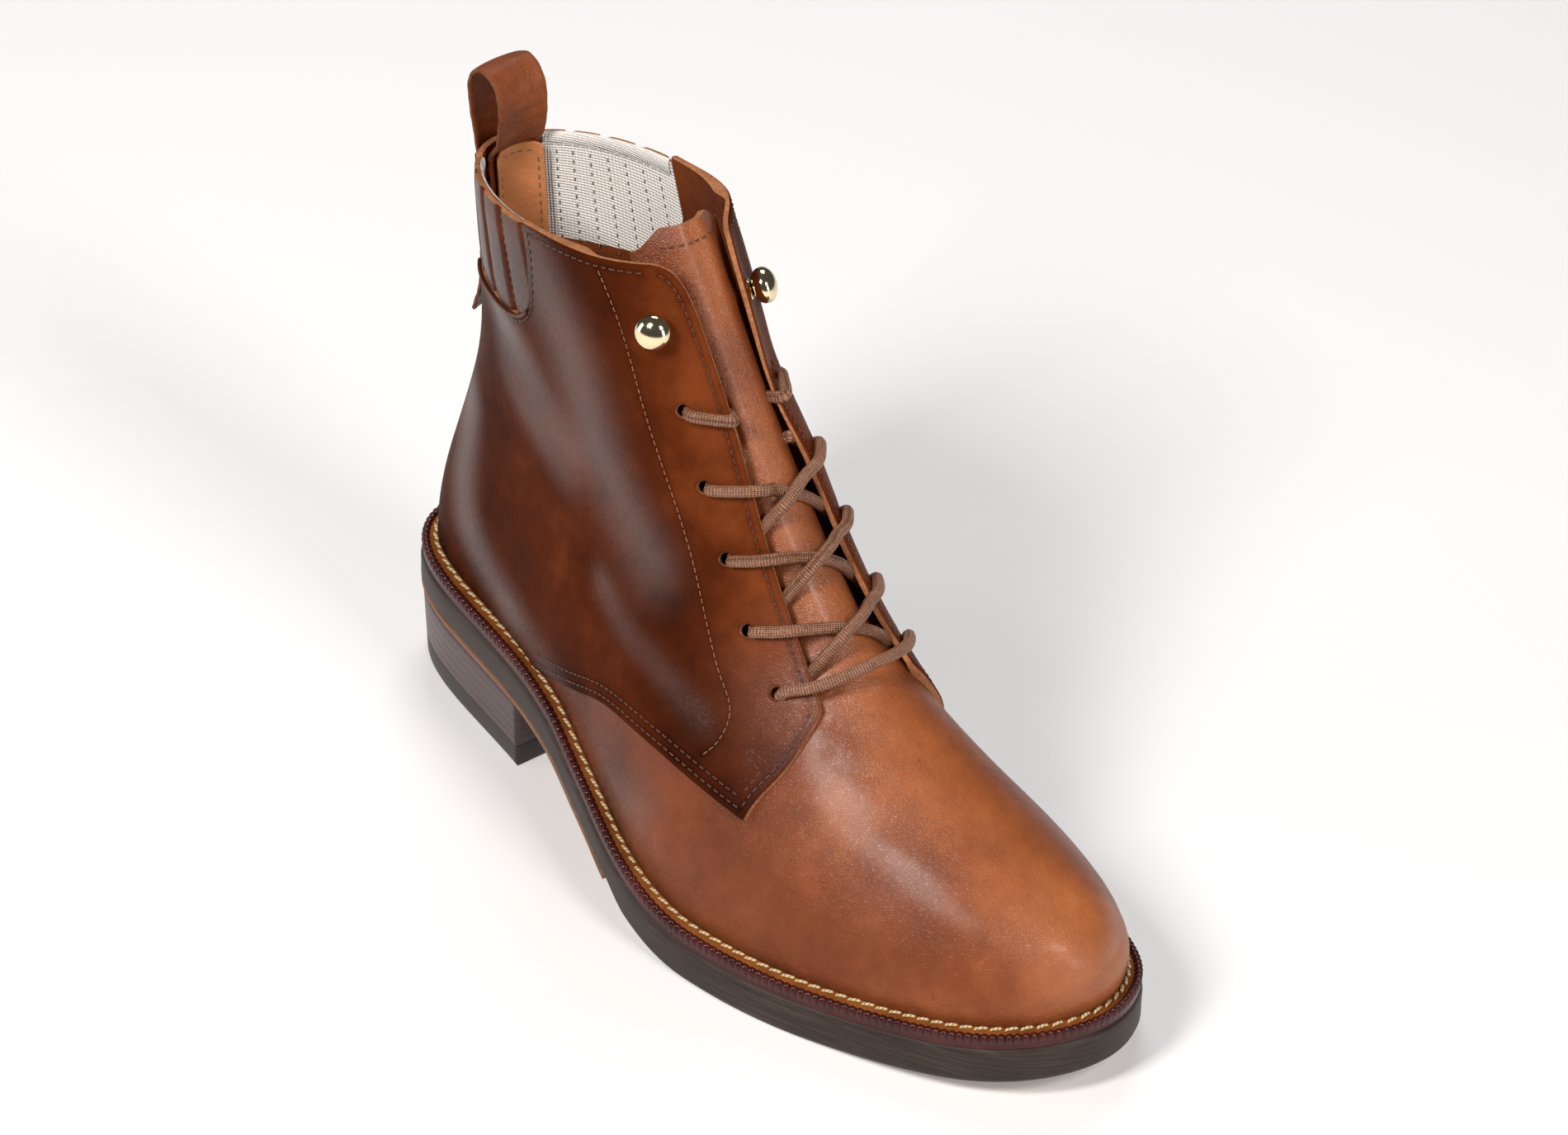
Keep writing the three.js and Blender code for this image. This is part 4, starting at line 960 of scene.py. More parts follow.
def tongue_lift(level, turn):
    """The tongue lies under the facings, flatter than the last."""
    off = np.abs(turn - 180)
    share = smooth(level, 0.49, 0.6)
    edges = 4.6 * smooth(off, 8, 46)
    flat = 7.6 * smooth(level, 0.62, 1.05) * (1 - smooth(off, 0, 70))
    return -share * (edges + flat + 0.3)


def tongue_face(level, turn):
    """The tongue's lift, without the bend of the facing over it, and rolled in at its top."""
    points = last(level, turn).reshape(-1, 3)
    lean = near_bands(points, lean_lines, FOLD_REACH).reshape(level.shape)
    top_roll = 0.9 * smooth(level, TONGUE_TOP - 0.004, TONGUE_TOP + 0.02)
    return tongue_lift(level, turn) + lean - top_roll


rows = np.concatenate([np.linspace(0.002, 0.5, 120), np.linspace(0.5, TONGUE_TOP, 111)[1:]])
first_turn = 38 + 89 * smooth(rows, 0.36, 0.56) + 3 * smooth(rows, 0.62, 0.95)
share = np.linspace(0, 1, 171)
turn_grid = first_turn[:, None] + (360 - 2 * first_turn[:, None]) * share[None]
level_grid = np.repeat(rows[:, None], len(share), 1)
bow = bowed(turn_grid) * smooth(level_grid, 0.8, 1.0)
corner_round = 0.02 * smooth(np.abs(turn_grid - 180), 30, 50) * smooth(level_grid, 0.93, 1.0)
level_grid = level_grid + bow - corner_round
slit = [(0.846, 160), (0.828, 161.5), (0.806, 162)]
other_slit = [(level, 360 - turn) for level, turn in slit]
outer = skin(level_grid, turn_grid, tongue_face(level_grid, turn_grid))
face_normal = normal(level_grid, turn_grid)
for places in (slit, other_slit):
    line = curved(places, 0.5)
    line_points = skin(*line.T, tongue_lift(*line.T))
    away = nearest(outer.reshape(-1, 3), line_points).reshape(outer.shape[:2])
    outer -= face_normal * (SLIT_DEPTH * np.exp(-(away / SLIT_WIDTH) ** 2))[..., None]
points, faces, which = slab(outer, outer - face_normal * VAMP_WALL)
off = np.abs(turn_grid - 180)
# Tone of the vamp and tongue: lighter down the middle and over the top of the vamp, darker down its
# sides, near the welt and up the tongue. The lighter top and darker sides are partly the leather's
# own colour, partly painted light: a painted highlight on the top and painted shade on the sides.
tone = 0.46 + 0.08 * smooth(off, 62, 40) + 0.15 * smooth(off, 34, 6)
tone = tone + 0.04 * smooth(level_grid, 0.2, 0.3) - 0.1 * smooth(level_grid, 0.06, 0.0)
tone = tone - 0.06 * smooth(level_grid, 0.52, 0.64) - 0.08 * smooth(off, 66, 100)
polish = 0.22 + 0.45 * smooth(level_grid, 0.47, 0.6)
polish = polish.ravel() + 0.5 * shine(outer.reshape(-1, 3))
mesh_object("vamp_and_tongue", points, faces, [tongue_leather, raw_edge, lining_leather], which,
            tone=filled(tone, len(points), 0.5), gloss=filled(polish, len(points), 0.3),
            slot="upper_leather", replaces=("tongue", "upper"))

# Seams
seam_turns = np.linspace(146, 214, 60)
seam_levels = np.full(60, TONGUE_TOP - TOP_SEAM_DROP) + bowed(seam_turns)
top_seam = np.stack([seam_levels, seam_turns], 1)
dark_runs, light_runs = [], []


def thread_lift(level, turn):
    return quarter_lift(level, turn) - 0.06


for _, turned in SIDES:
    dark_runs += [run_of(turned(line), thread_lift) for line in front_seams + tack_seams]
    light_runs.append(run_of(turned(light_seam), thread_lift))
dark_runs.append(run_of(top_seam, lambda a, b: tongue_face(a, b) + 0.1))
sew("stitches_upper", dark_runs, 2.45, (0.55, 0.5), brown_thread, sink=0.45)
sew("stitches_light", light_runs, 2.1, (0.34, 0.34), light_thread, sink=0.35)

# Gores: pleated leather outside, woven elastic inside
GORE_FROM, GORE_TO = 25.0, 86.0
PLEATS = 4
PLEAT_DEPTH = 1.15
gore_low = spline([24, 36, 48, 62, 74, 80, 87], [0.8, 0.802, 0.808, 0.82, 0.842, 0.868, 0.93])
gore_turns = np.linspace(GORE_FROM, GORE_TO, 129)
GORE_TOP = 0.994
for side_name, turned in SIDES:
    low = gore_low(gore_turns) - 0.006
    up = np.linspace(0, 1, 41)[:, None]
    level_grid = low[None] + (GORE_TOP - low[None]) * up
    turn_grid = np.repeat(gore_turns[None], len(up), 0)
    share = (turn_grid - GORE_FROM) / (GORE_TO - GORE_FROM)
    phase = share * PLEATS % 1
    wave = smooth(phase, 0.0, 0.08) * smooth(phase, 0.82, 0.74)
    belly = 0.85 + 0.15 * np.sin(np.pi * np.minimum(phase / 0.8, 1))
    wave = np.where(share > 0.98, 1, wave) * belly
    soft = 0.7 + 0.3 * smooth(level_grid, 0.8, 0.86) * smooth(level_grid, 1.0, 0.96)
    lift = -PLEAT_DEPTH + PLEAT_DEPTH * wave * soft
    uv_x = turn_grid * 0.42
    uv_y = level_grid * 140
    if turned is mirrored:
        turn_grid, level_grid = 360 - turn_grid[:, ::-1], level_grid[:, ::-1]
        lift, uv_x, uv_y = lift[:, ::-1], uv_x[:, ::-1], uv_y[:, ::-1]
    points, faces, which = slab(skin(level_grid, turn_grid, lift),
                                skin(level_grid, turn_grid, -WALL - 0.3))
    flat_uv = np.stack([uv_x.ravel(), uv_y.ravel()], 1)
    uv = np.concatenate([flat_uv, flat_uv, np.zeros((len(points) - 2 * len(flat_uv), 2))])
    mesh_object("gore_" + side_name + "_pleats", points, faces,
                [upper_leather, raw_edge, elastic_cloth], which, uv=uv,
                tone=filled(0.22 - 0.1 * lift, len(points), 0.4),
                gloss=filled(0.6 + 0.5 * lift, len(points), 0.2),
                slot="upper_leather", replaces=("gore_" + side_name,))


def tube(path, radius, sides=10):
    """Points and faces of a round tube along a path; its radius may vary along it."""
    ahead = tangent(path)
    side = np.zeros_like(path)
    start = np.cross(ahead[0], [0, 0, 1.0])
    side[0] = unit(start if np.linalg.norm(start) > 0.1 else np.cross(ahead[0], [0, 1.0, 0]))
    for i in range(1, len(path)):
        side[i] = unit(side[i - 1] - (side[i - 1] @ ahead[i]) * ahead[i])
    other = np.cross(ahead, side)
    angle = round_angles(sides)
    radius = np.broadcast_to(np.asarray(radius, float), (len(path),))[:, None, None]
    ring = (np.cos(angle)[None, :, None] * side[:, None]
            + np.sin(angle)[None, :, None] * other[:, None])
    points = (path[:, None] + ring * radius).reshape(-1, 3)
    faces = quads(len(path), sides, wrap=True).tolist()
    faces += [list(range(sides))[::-1], list(range((len(path) - 1) * sides, len(path) * sides))]
    return points, faces


def join(parts):
    points, faces, total = [], [], 0
    for part_points, part_faces in parts:
        points.append(part_points)
        faces += [[i + total for i in face] for face in part_faces]
        total += len(part_points)
    return np.concatenate(points), faces


def inner_run(line, lift):
    """A run of stitches on the inner face, where the normals point into the boot."""
    points, normals = run_of(line, lift)
    return points, -normals


# Rolled binding along a gore's lower edge, thread in its valleys and stitches of the elastic
binding, valley_runs, elastic_runs, hem_runs = [], [], [], []
roll_turns = np.linspace(26, 79, 60)
for _, turned in SIDES:
    roll = turned(np.stack([gore_low(roll_turns) - 0.004, roll_turns], 1))
    binding.append(tube(skin(*roll.T, 0.35), 0.6, 10))
    for k in range(1, PLEATS):
        turn = GORE_FROM + (GORE_TO - GORE_FROM) * (k - 0.07) / PLEATS
        foot_level = float(gore_low(np.array(turn))) + 0.01
        line = turned(spaced([(foot_level, turn), (0.985, turn)], 0.8))
        valley_runs.append(run_of(line, -0.95))
    for k in range(1, 2 * PLEATS):
        turn = GORE_FROM + (GORE_TO - GORE_FROM) * k / (2 * PLEATS)
        line = turned(spaced([(0.79, turn), (0.965, turn)], 0.8))
        elastic_runs.append(inner_run(line, -WALL - 0.35))
    hem_runs.append(inner_run(turned(spaced([(0.972, 27), (0.972, 84)], 0.8)), -WALL - 0.45))
binding_size = sum(len(part[0]) for part in binding)
mesh_object("gore_bindings", *join(binding), [upper_leather], slot="upper_leather",
            tone=np.full(binding_size, 0.3), gloss=np.full(binding_size, 0.3))
sew("stitches_pleats", valley_runs, 2.3, (0.6, 0.5), brown_thread)
sew("stitches_elastic", elastic_runs, 2.6, (0.5, 0.4), hem_thread, fill=0.62, slot="lining")
sew("stitches_hem", hem_runs, 2.4, (0.5, 0.45), grey_thread, slot="lining")

# Elastic hem: a folded strip at the top of each gore's inner side
hem = []
for _, turned in SIDES:
    line = turned(spaced([(0.985, 26), (0.985, 85)], 0.9))
    grid_level = line[:, 0][None] + np.array([-0.012, -0.009, 0.0, 0.009, 0.012])[:, None]
    grid_turn = np.repeat(line[:, 1][None], 5, 0)
    lifts = np.array([-2.3, -2.75, -2.85, -2.7, -2.0])[:, None]
    points = skin(grid_level, grid_turn, lifts + 0 * grid_turn)
    hem.append((points.reshape(-1, 3), quads(*points.shape[:2])[:, ::-1].tolist()))
points, faces = join(hem)
mesh_object("elastic_hems", points, faces, [elastic_cloth], slot="lining",
            uv=np.stack([points[:, 0], points[:, 2]], 1))


# Straps in the boot's middle plane, bowed across like the ring behind them
def bow_at(level, offset):
    half = (half_lateral(level) + half_medial(level)) / 2
    radius = 2 * half * half / (front_at(level) - back_at(level))
    return 1 / (2 * (radius + offset))


def strap(stops, width, thickness, steps, across, aside, top_round=0.0, wrinkle=0.0):
    """Both faces of a strap through stops of (point, bow), cut square at its sides."""
    places = np.array([stop[0] for stop in stops])
    run = way_along(places)
    fine = np.linspace(0, run[-1], steps)
    path = curve_at(places, run, fine)
    bow = np.interp(fine, run, [stop[1] for stop in stops])
    ahead = tangent(path)
    out = np.stack([-ahead[:, 2], np.zeros(steps), ahead[:, 0]], 1)
    share = np.linspace(-1, 1, across)
    narrow = np.full(steps, width / 2)
    if top_round:
        cut = np.clip(top_round - fine, 0, top_round)
        narrow = width / 2 - (top_round - np.sqrt(top_round ** 2 - cut ** 2))
    side = share[None] * narrow[:, None] + aside
    middle = path[:, None] + np.stack([bow[:, None] * side ** 2, side, 0 * side], -1)
    edge = 0.35 * np.abs(share[None]) ** 14
    noise = wrinkle * (np.sin(fine[:, None] * 1.1 + share * 2.2) * np.sin(fine[:, None] * 0.37))
    half = thickness / 2
    outer = middle + out[:, None] * (half - edge + noise)[..., None]
    inner = middle - out[:, None] * (half - edge - noise)[..., None]
    return outer, inner


def ring_stop(level, offset):
    """A stop of a strap at the back of the last, at an offset from its surface."""
    point = last(level, 0.0) + normal(np.array(level), np.array(0.0)) * offset
    return (np.array([point[0], SHIFT[1], point[2]]), bow_at(level, offset))


outside = [ring_stop(level, offset) for level, offset in (
    (0.65, 4.2), (0.69, 2.8), (0.73, 1.7), (0.82, 1.3), (0.88, 1.3), (0.94, 1.3), (0.985, 1.3))]
inside_leg = [ring_stop(level, -WALL - 1.3) for level in (0.985, 0.94, 0.9)]
foot = outside[-1][0]
LOOP_TOP = COLLAR_BACK + 24
LOOP_WIDTH, TAB_WIDTH = 16, 14
# forward from the collar in millimetres, share of the loop's height
arch = []
for forward, up in ((-1.6, 0.3), (-3, 0.6), (-2.2, 0.87), (2, 1), (7, 0.96), (10, 0.72),
                    (9.6, 0.4), (7.4, 0.14)):
    point = np.array([foot[0] + forward, SHIFT[1], foot[2] + (LOOP_TOP - foot[2]) * up])
    arch.append((point, bow_at(1.0, 0) * (0.25 + 0.75 * (1 - up))))
points, faces, which = slab(*strap(outside + arch + inside_leg, LOOP_WIDTH, 1.6, 260, 27,
                                   aside=0.5, wrinkle=0.14))
mesh_object("pull_loop_strap", points, faces, [strap_leather, dark_raw, strap_leather], which,
            tone=np.full(len(points), 0.55), gloss=np.full(len(points), 0.35),
            slot="upper_leather", replaces=("pull_loop",))

tab_stops = [ring_stop(level, -WALL - 3.3) for level in (0.994, 0.95, 0.9, 0.85, 0.79, 0.73)]
outer, inner = strap(tab_stops, TAB_WIDTH, 1.3, 120, 31, aside=1.5, top_round=2.2)
points, faces, which = slab(outer, inner)
mesh_object("back_tab", points, faces, [lining_leather, raw_edge, lining_leather], which,
            slot="lining")
# Stitches down both sides of the face that looks forward, and across its top
tab_face = outer if outer[30, 15, 0] > inner[30, 15, 0] else inner
tab_runs = [(run, np.tile([1.0, 0, 0.1], (len(run), 1)))
            for run in (tab_face[12:, 3], tab_face[12:, -4], tab_face[7, 4:-4])]
sew("stitches_tab", tab_runs, 2.6, (0.5, 0.45), hem_thread, slot="lining")


# Sole, heel, welt and bead
def edge_ring(section, closed=True):
    """A section of (inset, height function) carried round the sole's edge."""
    loops = [outline(inset, 260) for inset, _ in section]
    rings = [np.column_stack([loop, height(loop[:, 0])]) + SHIFT
             for loop, (_, height) in zip(loops, section)]
    grid = np.stack(rings, 1)
    if closed:
        grid = np.concatenate([grid, grid[:, :1]], 1)
    return grid


def wrapped(grid):
    """Faces of a grid of points whose rows close on themselves round the sole."""
    rows, cols = grid.shape[:2]
    row = np.arange(rows)[:, None] * cols
    after = (np.arange(rows)[:, None] + 1) % rows * cols
    col = np.arange(cols - 1)[None]
    return np.stack([row + col, row + col + 1, after + col + 1, after + col], -1).reshape(-1, 4)


def crossed(count):
    """Faces that close a ring of points from side to side, as indices into the ring."""
    for i in range(count // 2):
        face = [i, i + 1, (count - i - 1) % count, (count - i) % count]
        yield [f for k, f in enumerate(face) if f not in face[:k]]


def capped(grid, column):
    """Faces across the sole at one column of an edge grid."""
    rows, cols = grid.shape[:2]
    return [[i * cols + column for i in face] for face in crossed(rows)]


WAIST_END = 0.475 * SOLE_LENGTH
WAIST_FADE = 0.05 * SOLE_LENGTH


def sole_bottom(x):
    return underside(x) + WAIST_LAYER * (1 - smooth(x, WAIST_END, WAIST_END + WAIST_FADE))


def above(function, rise):
    return lambda x: function(x) + rise


sole_section = [(1.2, above(sole_bottom, 0)), (0.35, above(sole_bottom, 0.3)),
                (0.0, above(sole_bottom, 1.2)), (0.0, above(sole_top, -4.5)),
                (-0.1, above(sole_top, -2.4)), (0.1, above(sole_top, -1.0)),
                (0.55, above(sole_top, -0.35)), (1.0, above(sole_top, 0.0))]
grid = edge_ring(sole_section, closed=False)
side_faces, under_faces = wrapped(grid).tolist(), capped(grid, 0)
top_faces = [face[::-1] for face in capped(grid, len(sole_section) - 1)]
which = [0] * len(side_faces) + [1] * len(under_faces) + [0] * len(top_faces)
mesh_object("outsole_edge_and_tread", grid, side_faces + under_faces + top_faces,
            [sole_edge, sole_under], which, slot="sole_edge", replaces=("outsole",))


def rear_ring(inset, end, height):
    """The part of the sole's edge behind x = end, as one ring closed straight across."""
    fine = outline(inset, 400)
    x = inset + (end - inset) * (1 - np.cos(np.pi * np.arange(71) / 140))
    out = np.interp(x, *fine[:401].T)
    back = np.interp(x, *np.concatenate([fine[:1], fine[400:][::-1]]).T)
    across = np.linspace(out[-1], back[-1], 26)[1:-1]
    ring_x = np.concatenate([x, np.full(24, x[-1]), x[:0:-1]])
    ring_y = np.concatenate([out, across, back[:0:-1]])
    return np.column_stack([ring_x, ring_y, height(ring_x)]) + SHIFT


def stacked(rings):
    """Points and faces of a solid through rings, from its lowest to its highest."""
    count = len(rings[0])
    top = (len(rings) - 1) * count
    faces = quads(len(rings), count, wrap=True).tolist()
    faces += [face[::-1] for face in crossed(count)]
    faces += [[top + i for i in face] for face in crossed(count)]
    return np.concatenate(rings), faces


waist_rings = []
for inset, rise in ((1.0, 0.0), (0.35, 0.25), (0.15, 0.9), (0.35, WAIST_LAYER - 0.35)):
    waist_rings.append(rear_ring(inset, WAIST_END, lambda x, rise=rise: underside(x) + rise * (
        1 - 0.75 * smooth(x, WAIST_END - WAIST_FADE, WAIST_END))))
mesh_object("waist_layer", *stacked(waist_rings), [waist_edge], slot="waist_leather",
            replaces=("waist_sole",))


def heel_ring(z, inset_more=0.0, top=False):
    inset = 0.6 + HEEL_TAPER * (1 - z / HEEL_HEIGHT) + inset_more
    height = (lambda x: underside(x) - 0.25) if top else (lambda x: 0 * x + z)
    return rear_ring(inset, HEEL_LENGTH - inset * 0.4, height)


LIFTS = 5
heel_rings = []
lift_height = (HEEL_HEIGHT * 0.96 - TOP_PIECE) / LIFTS
for k in range(LIFTS):
    z0 = TOP_PIECE + 0.15 + k * lift_height
    z1 = z0 + lift_height
    heel_rings += [heel_ring(z0, 0.05), heel_ring(z0 + 0.15), heel_ring(z1 - 0.15)]
heel_rings[-1] = heel_ring(HEEL_HEIGHT, 0.1, top=True)
mesh_object("heel_lifts", *stacked(heel_rings), [heel_edge], slot="heel_leather",
            replaces=("heel_stack",))
top_rings = [heel_ring(0.0, 0.6), heel_ring(0.5, 0.12), heel_ring(1.2),
             heel_ring(TOP_PIECE - 0.4), heel_ring(TOP_PIECE - 0.1, 0.2)]
mesh_object("heel_top", *stacked(top_rings), [rubber], slot="rubber",
            replaces=("heel_top_piece",))

# The strip slopes down a little from the feather line to the bead
BEAD_INNER = 2.3
welt_section = [(BEAD_INNER - 0.6, above(sole_top, 0.15)), (SHELF + 3.4, above(sole_top, 0.15)),
                (SHELF + 3.4, above(welt_top, 0)), (SHELF + 0.3, above(welt_top, 0.0)),
                (SHELF - 0.9, above(welt_top, -0.2)), (BEAD_INNER + 0.3, above(welt_top, -0.85)),
                (BEAD_INNER - 0.6, above(welt_top, -1.1))]
grid = edge_ring(welt_section)
mesh_object("welt_strip", grid, wrapped(grid), [welt_leather], slot="welt_leather",
            replaces=("welt",))

# The bead's ribs: its outer face swells and shrinks along the edge
RIB_PITCH = 2.28
RIB_SAMPLES = 8
RIB_DEPTH = 1.15
loop = outline(0, 4000)
loop = np.concatenate([loop, loop[:1]])
run = way_along(loop)
ribs = int(round(run[-1] / RIB_PITCH))
at = np.linspace(0, run[-1], ribs * RIB_SAMPLES, endpoint=False)
edge = line_at(loop, run, at)
way = tangent(edge, closed=True)
inward = np.stack([-way[:, 1], way[:, 0]], 1)
swell = np.abs(np.sin(np.pi * np.arange(len(at)) / RIB_SAMPLES)) ** 0.55
# inset, rise, share of the rib's depth
bead_section = [(0.5, 0.05, 0), (2.5, 0.05, 0), (2.5, 3.6, 0), (2.2, 3.9, 0.3), (1.8, 4.5, 0.8),
                (1.4, 4.7, 1), (0.9, 4.6, 1), (0.35, 4.2, 1), (0.0, 3.5, 1), (0.0, 2.7, 1),
                (0.2, 2.0, 0.75), (0.55, 1.55, 0.25), (0.7, 0.9, 0)]
centre_inset, centre_up = 1.5, 2.9
grid = []
for inset, rise, share in bead_section:
    dx, dz = inset - centre_inset, rise - centre_up
    cut = RIB_DEPTH * share * (1 - swell) / math.hypot(dx, dz)
    point = edge + inward * (inset - dx * cut)[:, None]
    grid.append(np.column_stack([point, sole_top(point[:, 0]) + rise - dz * cut]) + SHIFT)
grid = np.stack(grid + grid[:1], 1)
mesh_object("bead_ribs", grid, wrapped(grid), [bead_gloss], slot="bead",
            replaces=("welt_bead",))

# Cream stitches along the welt
line = outline(SHELF - 0.75, 1000)
points = np.column_stack([line, welt_top(line[:, 0]) + 0.1]) + SHIFT
points = np.concatenate([points, points[:1]])
slope = np.gradient(points, axis=0)
flat_side = np.column_stack([-slope[:, 1], slope[:, 0], 0 * slope[:, 0]])
up = unit(np.cross(slope, flat_side))
up[up[:, 2] < 0] *= -1
sew("stitches_welt", [(points[::-1], up[::-1])], 4.1, (1.1, 0.8), cream_thread, skew=13,
    sink=0.5, sides=8, stations=9, slot="welt_leather", fill=0.93)

# Insole
board = SHELF + WALL + 0.5
insole_section = [(board + 1.4, above(welt_top, 0.4)), (board, above(welt_top, 0.6)),
                  (board, above(welt_top, 2.3)), (board + 0.7, above(welt_top, 2.9)),
                  (board + 2.5, above(welt_top, 2.9))]
grid = edge_ring(insole_section, closed=False)
faces = wrapped(grid).tolist() + capped(grid, 0)
faces += [face[::-1] for face in capped(grid, len(insole_section) - 1)]
mesh_object("insole_sock", grid, faces, [lining_leather], slot="lining", replaces=("insole",))


# Eyelets behind the holes, and studs
def local_frame(level, turn, lift):
    out = normal(np.array(float(level)), np.array(float(turn)))
    side = unit(np.cross([0, 0, 1.0], out))
    origin = skin(np.array([float(level)]), np.array([float(turn)]), lift)[0]
    return origin, side, np.cross(out, side), out


def turned_piece(profile, level, turn, lift, sides=24):
    """A round piece standing on the upper: profile is (radius, height) from its foot."""
    origin, side, other, out = local_frame(level, turn, lift)
    angle = round_angles(sides)
    circle_points = np.outer(np.cos(angle), side) + np.outer(np.sin(angle), other)
    rings = [origin + radius * circle_points + height * out for radius, height in profile]
    return np.concatenate(rings), quads(len(profile), sides, wrap=True).tolist()


eyelet_profile = [(HOLE + 1.6, -0.25), (HOLE + 1.4, 0.1), (HOLE + 0.5, 0.25), (HOLE - 0.15, 0.15),
                  (HOLE - 0.25, -0.3), (HOLE - 0.1, -0.5)]
parts, eyelet_nodes = [], []
for i, (level, turn) in enumerate(EYELETS):
    for side_name, here in (("lateral", turn), ("medial", 360 - turn)):
        parts.append(turned_piece(eyelet_profile, level, here, FACING_LIFT + 0.1))
        eyelet_nodes.append(f"eyelet_{side_name}_{i + 1}")
mesh_object("blind_eyelets", *join(parts), [black_eyelet], slot="eyelet", replaces=eyelet_nodes)
angle = np.linspace(-0.42 * np.pi, 0.5 * np.pi, 20)
HEAD_RADIUS, HEAD_MIDDLE, HEAD_HALF_HEIGHT = 5.05, 3.9, 3.6
STUD_SIDES = 40
stud_profile = [(3.0, -0.2), (2.9, 0.2), (2.3, 0.4), (1.8, 0.6), (1.8, 0.9), (2.6, 1.15)]
stud_profile += [(HEAD_RADIUS * math.cos(a), HEAD_MIDDLE + HEAD_HALF_HEIGHT * math.sin(a))
                 for a in angle[1:-1]]
stud_profile.append((0.02, 7.5))
base_lift = float(quarter_lift(np.array(STUD[0]), np.array(STUD[1])))
for side_name, here, level in (("lateral", STUD[1], STUD[0]),
                               ("medial", 360 - STUD[1], MEDIAL_STUD_LEVEL)):
    points, faces = turned_piece(stud_profile, level, here, base_lift, STUD_SIDES)
    faces.append(list(range(len(points) - STUD_SIDES, len(points))))
    mesh_object("gold_stud_" + side_name, points, faces, [gold], slot="gold",
                replaces=("stud_" + side_name,))

# The lace: one strand from inside the top eyelet on one side, down to the bar across the lowest
# pair, and up to the other top eyelet. A taut run climbs over the instep's ridge: its level rises
# over the straight line between its eyelets, most halfway.
LACE = 1.65
LACE_SIDES = 16
LACE_STEP = 0.32
BRAID_RELIEF = 0.07
BAR_CLIMB = 0.042
CLIMBS = [0.052, 0.052, 0.04, 0.026]
over = QUARTER + FACING_LIFT + LACE * 0.92
edge_turn = spline(facing_line[::12, 0], facing_line[::12, 1])


def on_the_way(start, end, climb, turn, lift):
    """A stop at a turn between an eyelet and another on the other side."""
    share = (turn - start[1]) / (360 - end[1] - start[1])
    level = start[0] + (end[0] - start[0]) * share + climb * math.sin(math.pi * share)
    return level, turn, lift


def crossing(step, side, on_top):
    """Stops (level, turn, lift) from inside one eyelet to inside the next on the other side."""
    start, end, climb = EYELETS[step], EYELETS[step + 1], CLIMBS[step]
    under = FACING_LIFT - LACE * 0.8
    near, far = float(edge_turn(start[0] + 0.03)), 360 - float(edge_turn(end[0]))
    top = LACE + (2 * LACE * 0.85 if on_top else 0.1)

    def stop(turn, lift):
        return on_the_way(start, end, climb, turn, lift)

    def tongue_stop(turn, lift):
        level = stop(turn, 0)[0]
        return level, turn, float(tongue_lift(np.array(level), np.array(turn))) + lift

    stops = [stop(start[1] + 1.5, under - 0.3), stop((start[1] + near) / 2, under),
             stop(near - 1, under + 0.1)]
    if step == len(EYELETS) - 2:
        deep = -1.8 - LACE - 0.3
        stops += [tongue_stop(158, 1.2), tongue_stop(163, -1.5), tongue_stop(168, deep),
                  tongue_stop(180, deep), tongue_stop(192, deep), tongue_stop(197.5, -1.0),
                  tongue_stop(201, LACE + 0.4), stop(far - 0.5, over - 0.4)]
    else:
        stops += [tongue_stop(near + 8, 0.3 * top + 0.7 * LACE), tongue_stop(171, top),
                  tongue_stop(180, top + 0.1), tongue_stop(189, top),
                  stop(far - 7, over - 1.6 + (0.4 if on_top else 0)), stop(far - 0.5, over + 0.15)]
    hole = 360 - end[1]
    stops += [stop((far + hole) / 2, over + 0.1), stop(hole - 4.2, over - 0.05),
              (end[0], hole - 2.1, over - 1.5), (end[0], hole - 1.3, -0.2)]
    if side == MEDIAL:
        stops = [(level, 360 - turn, lift) for level, turn, lift in stops]
    return stops


def strand(side):
    """The stops from the lowest eyelet of one side up through every crossing."""
    stops = []
    for step in range(len(EYELETS) - 1):
        stops += crossing(step, side, on_top=side == LATERAL)
        side = -side
    return stops


low_level, low_turn = EYELETS[0]
bar = [(low_level, low_turn + 1.0, -0.2), (low_level, low_turn + 1.8, over - 1.5)]
bar += [on_the_way(EYELETS[0], EYELETS[0], BAR_CLIMB, turn, over + lift)
        for turn, lift in ((142, 0.0), (150, 0.3), (160, 0.6), (170, 1.0), (180, 1.2))]
bar += [(level, 360 - turn, lift) for level, turn, lift in bar[-2::-1]]
stops = strand(LATERAL)[::-1] + bar + strand(MEDIAL)
stop_level, stop_turn, stop_lift = np.array(stops, float).T
route = skin(stop_level, stop_turn, stop_lift)
steps = np.sqrt(np.linalg.norm(np.diff(route, axis=0), axis=1))
run = np.concatenate([[0], np.cumsum(steps)])
fine = curve_at(route, run, np.linspace(0, run[-1], 6000))
length = way_along(fine)
at = np.linspace(0, length[-1], int(length[-1] / LACE_STEP))
path = line_at(fine, length, at)
hole_points = np.concatenate([
    skin(np.array([level, level]), np.array([turn, 360 - turn]), 1.9) for level, turn in EYELETS])
squeeze = 1 - 0.2 * np.exp(-(nearest(path, hole_points) / 3.0) ** 2)
points, faces = tube(path, LACE * squeeze, LACE_SIDES)
ring = np.tile(round_angles(LACE_SIDES), len(path))
run_along = np.repeat(at, LACE_SIDES)
twist = 2 * np.pi * run_along / BRAID_PITCH
weave = np.sin(twist + ring * 4) * np.sin(twist - ring * 4)
centre = np.repeat(path, LACE_SIDES, 0)
points = points + unit(points - centre) * (BRAID_RELIEF * weave)[:, None]
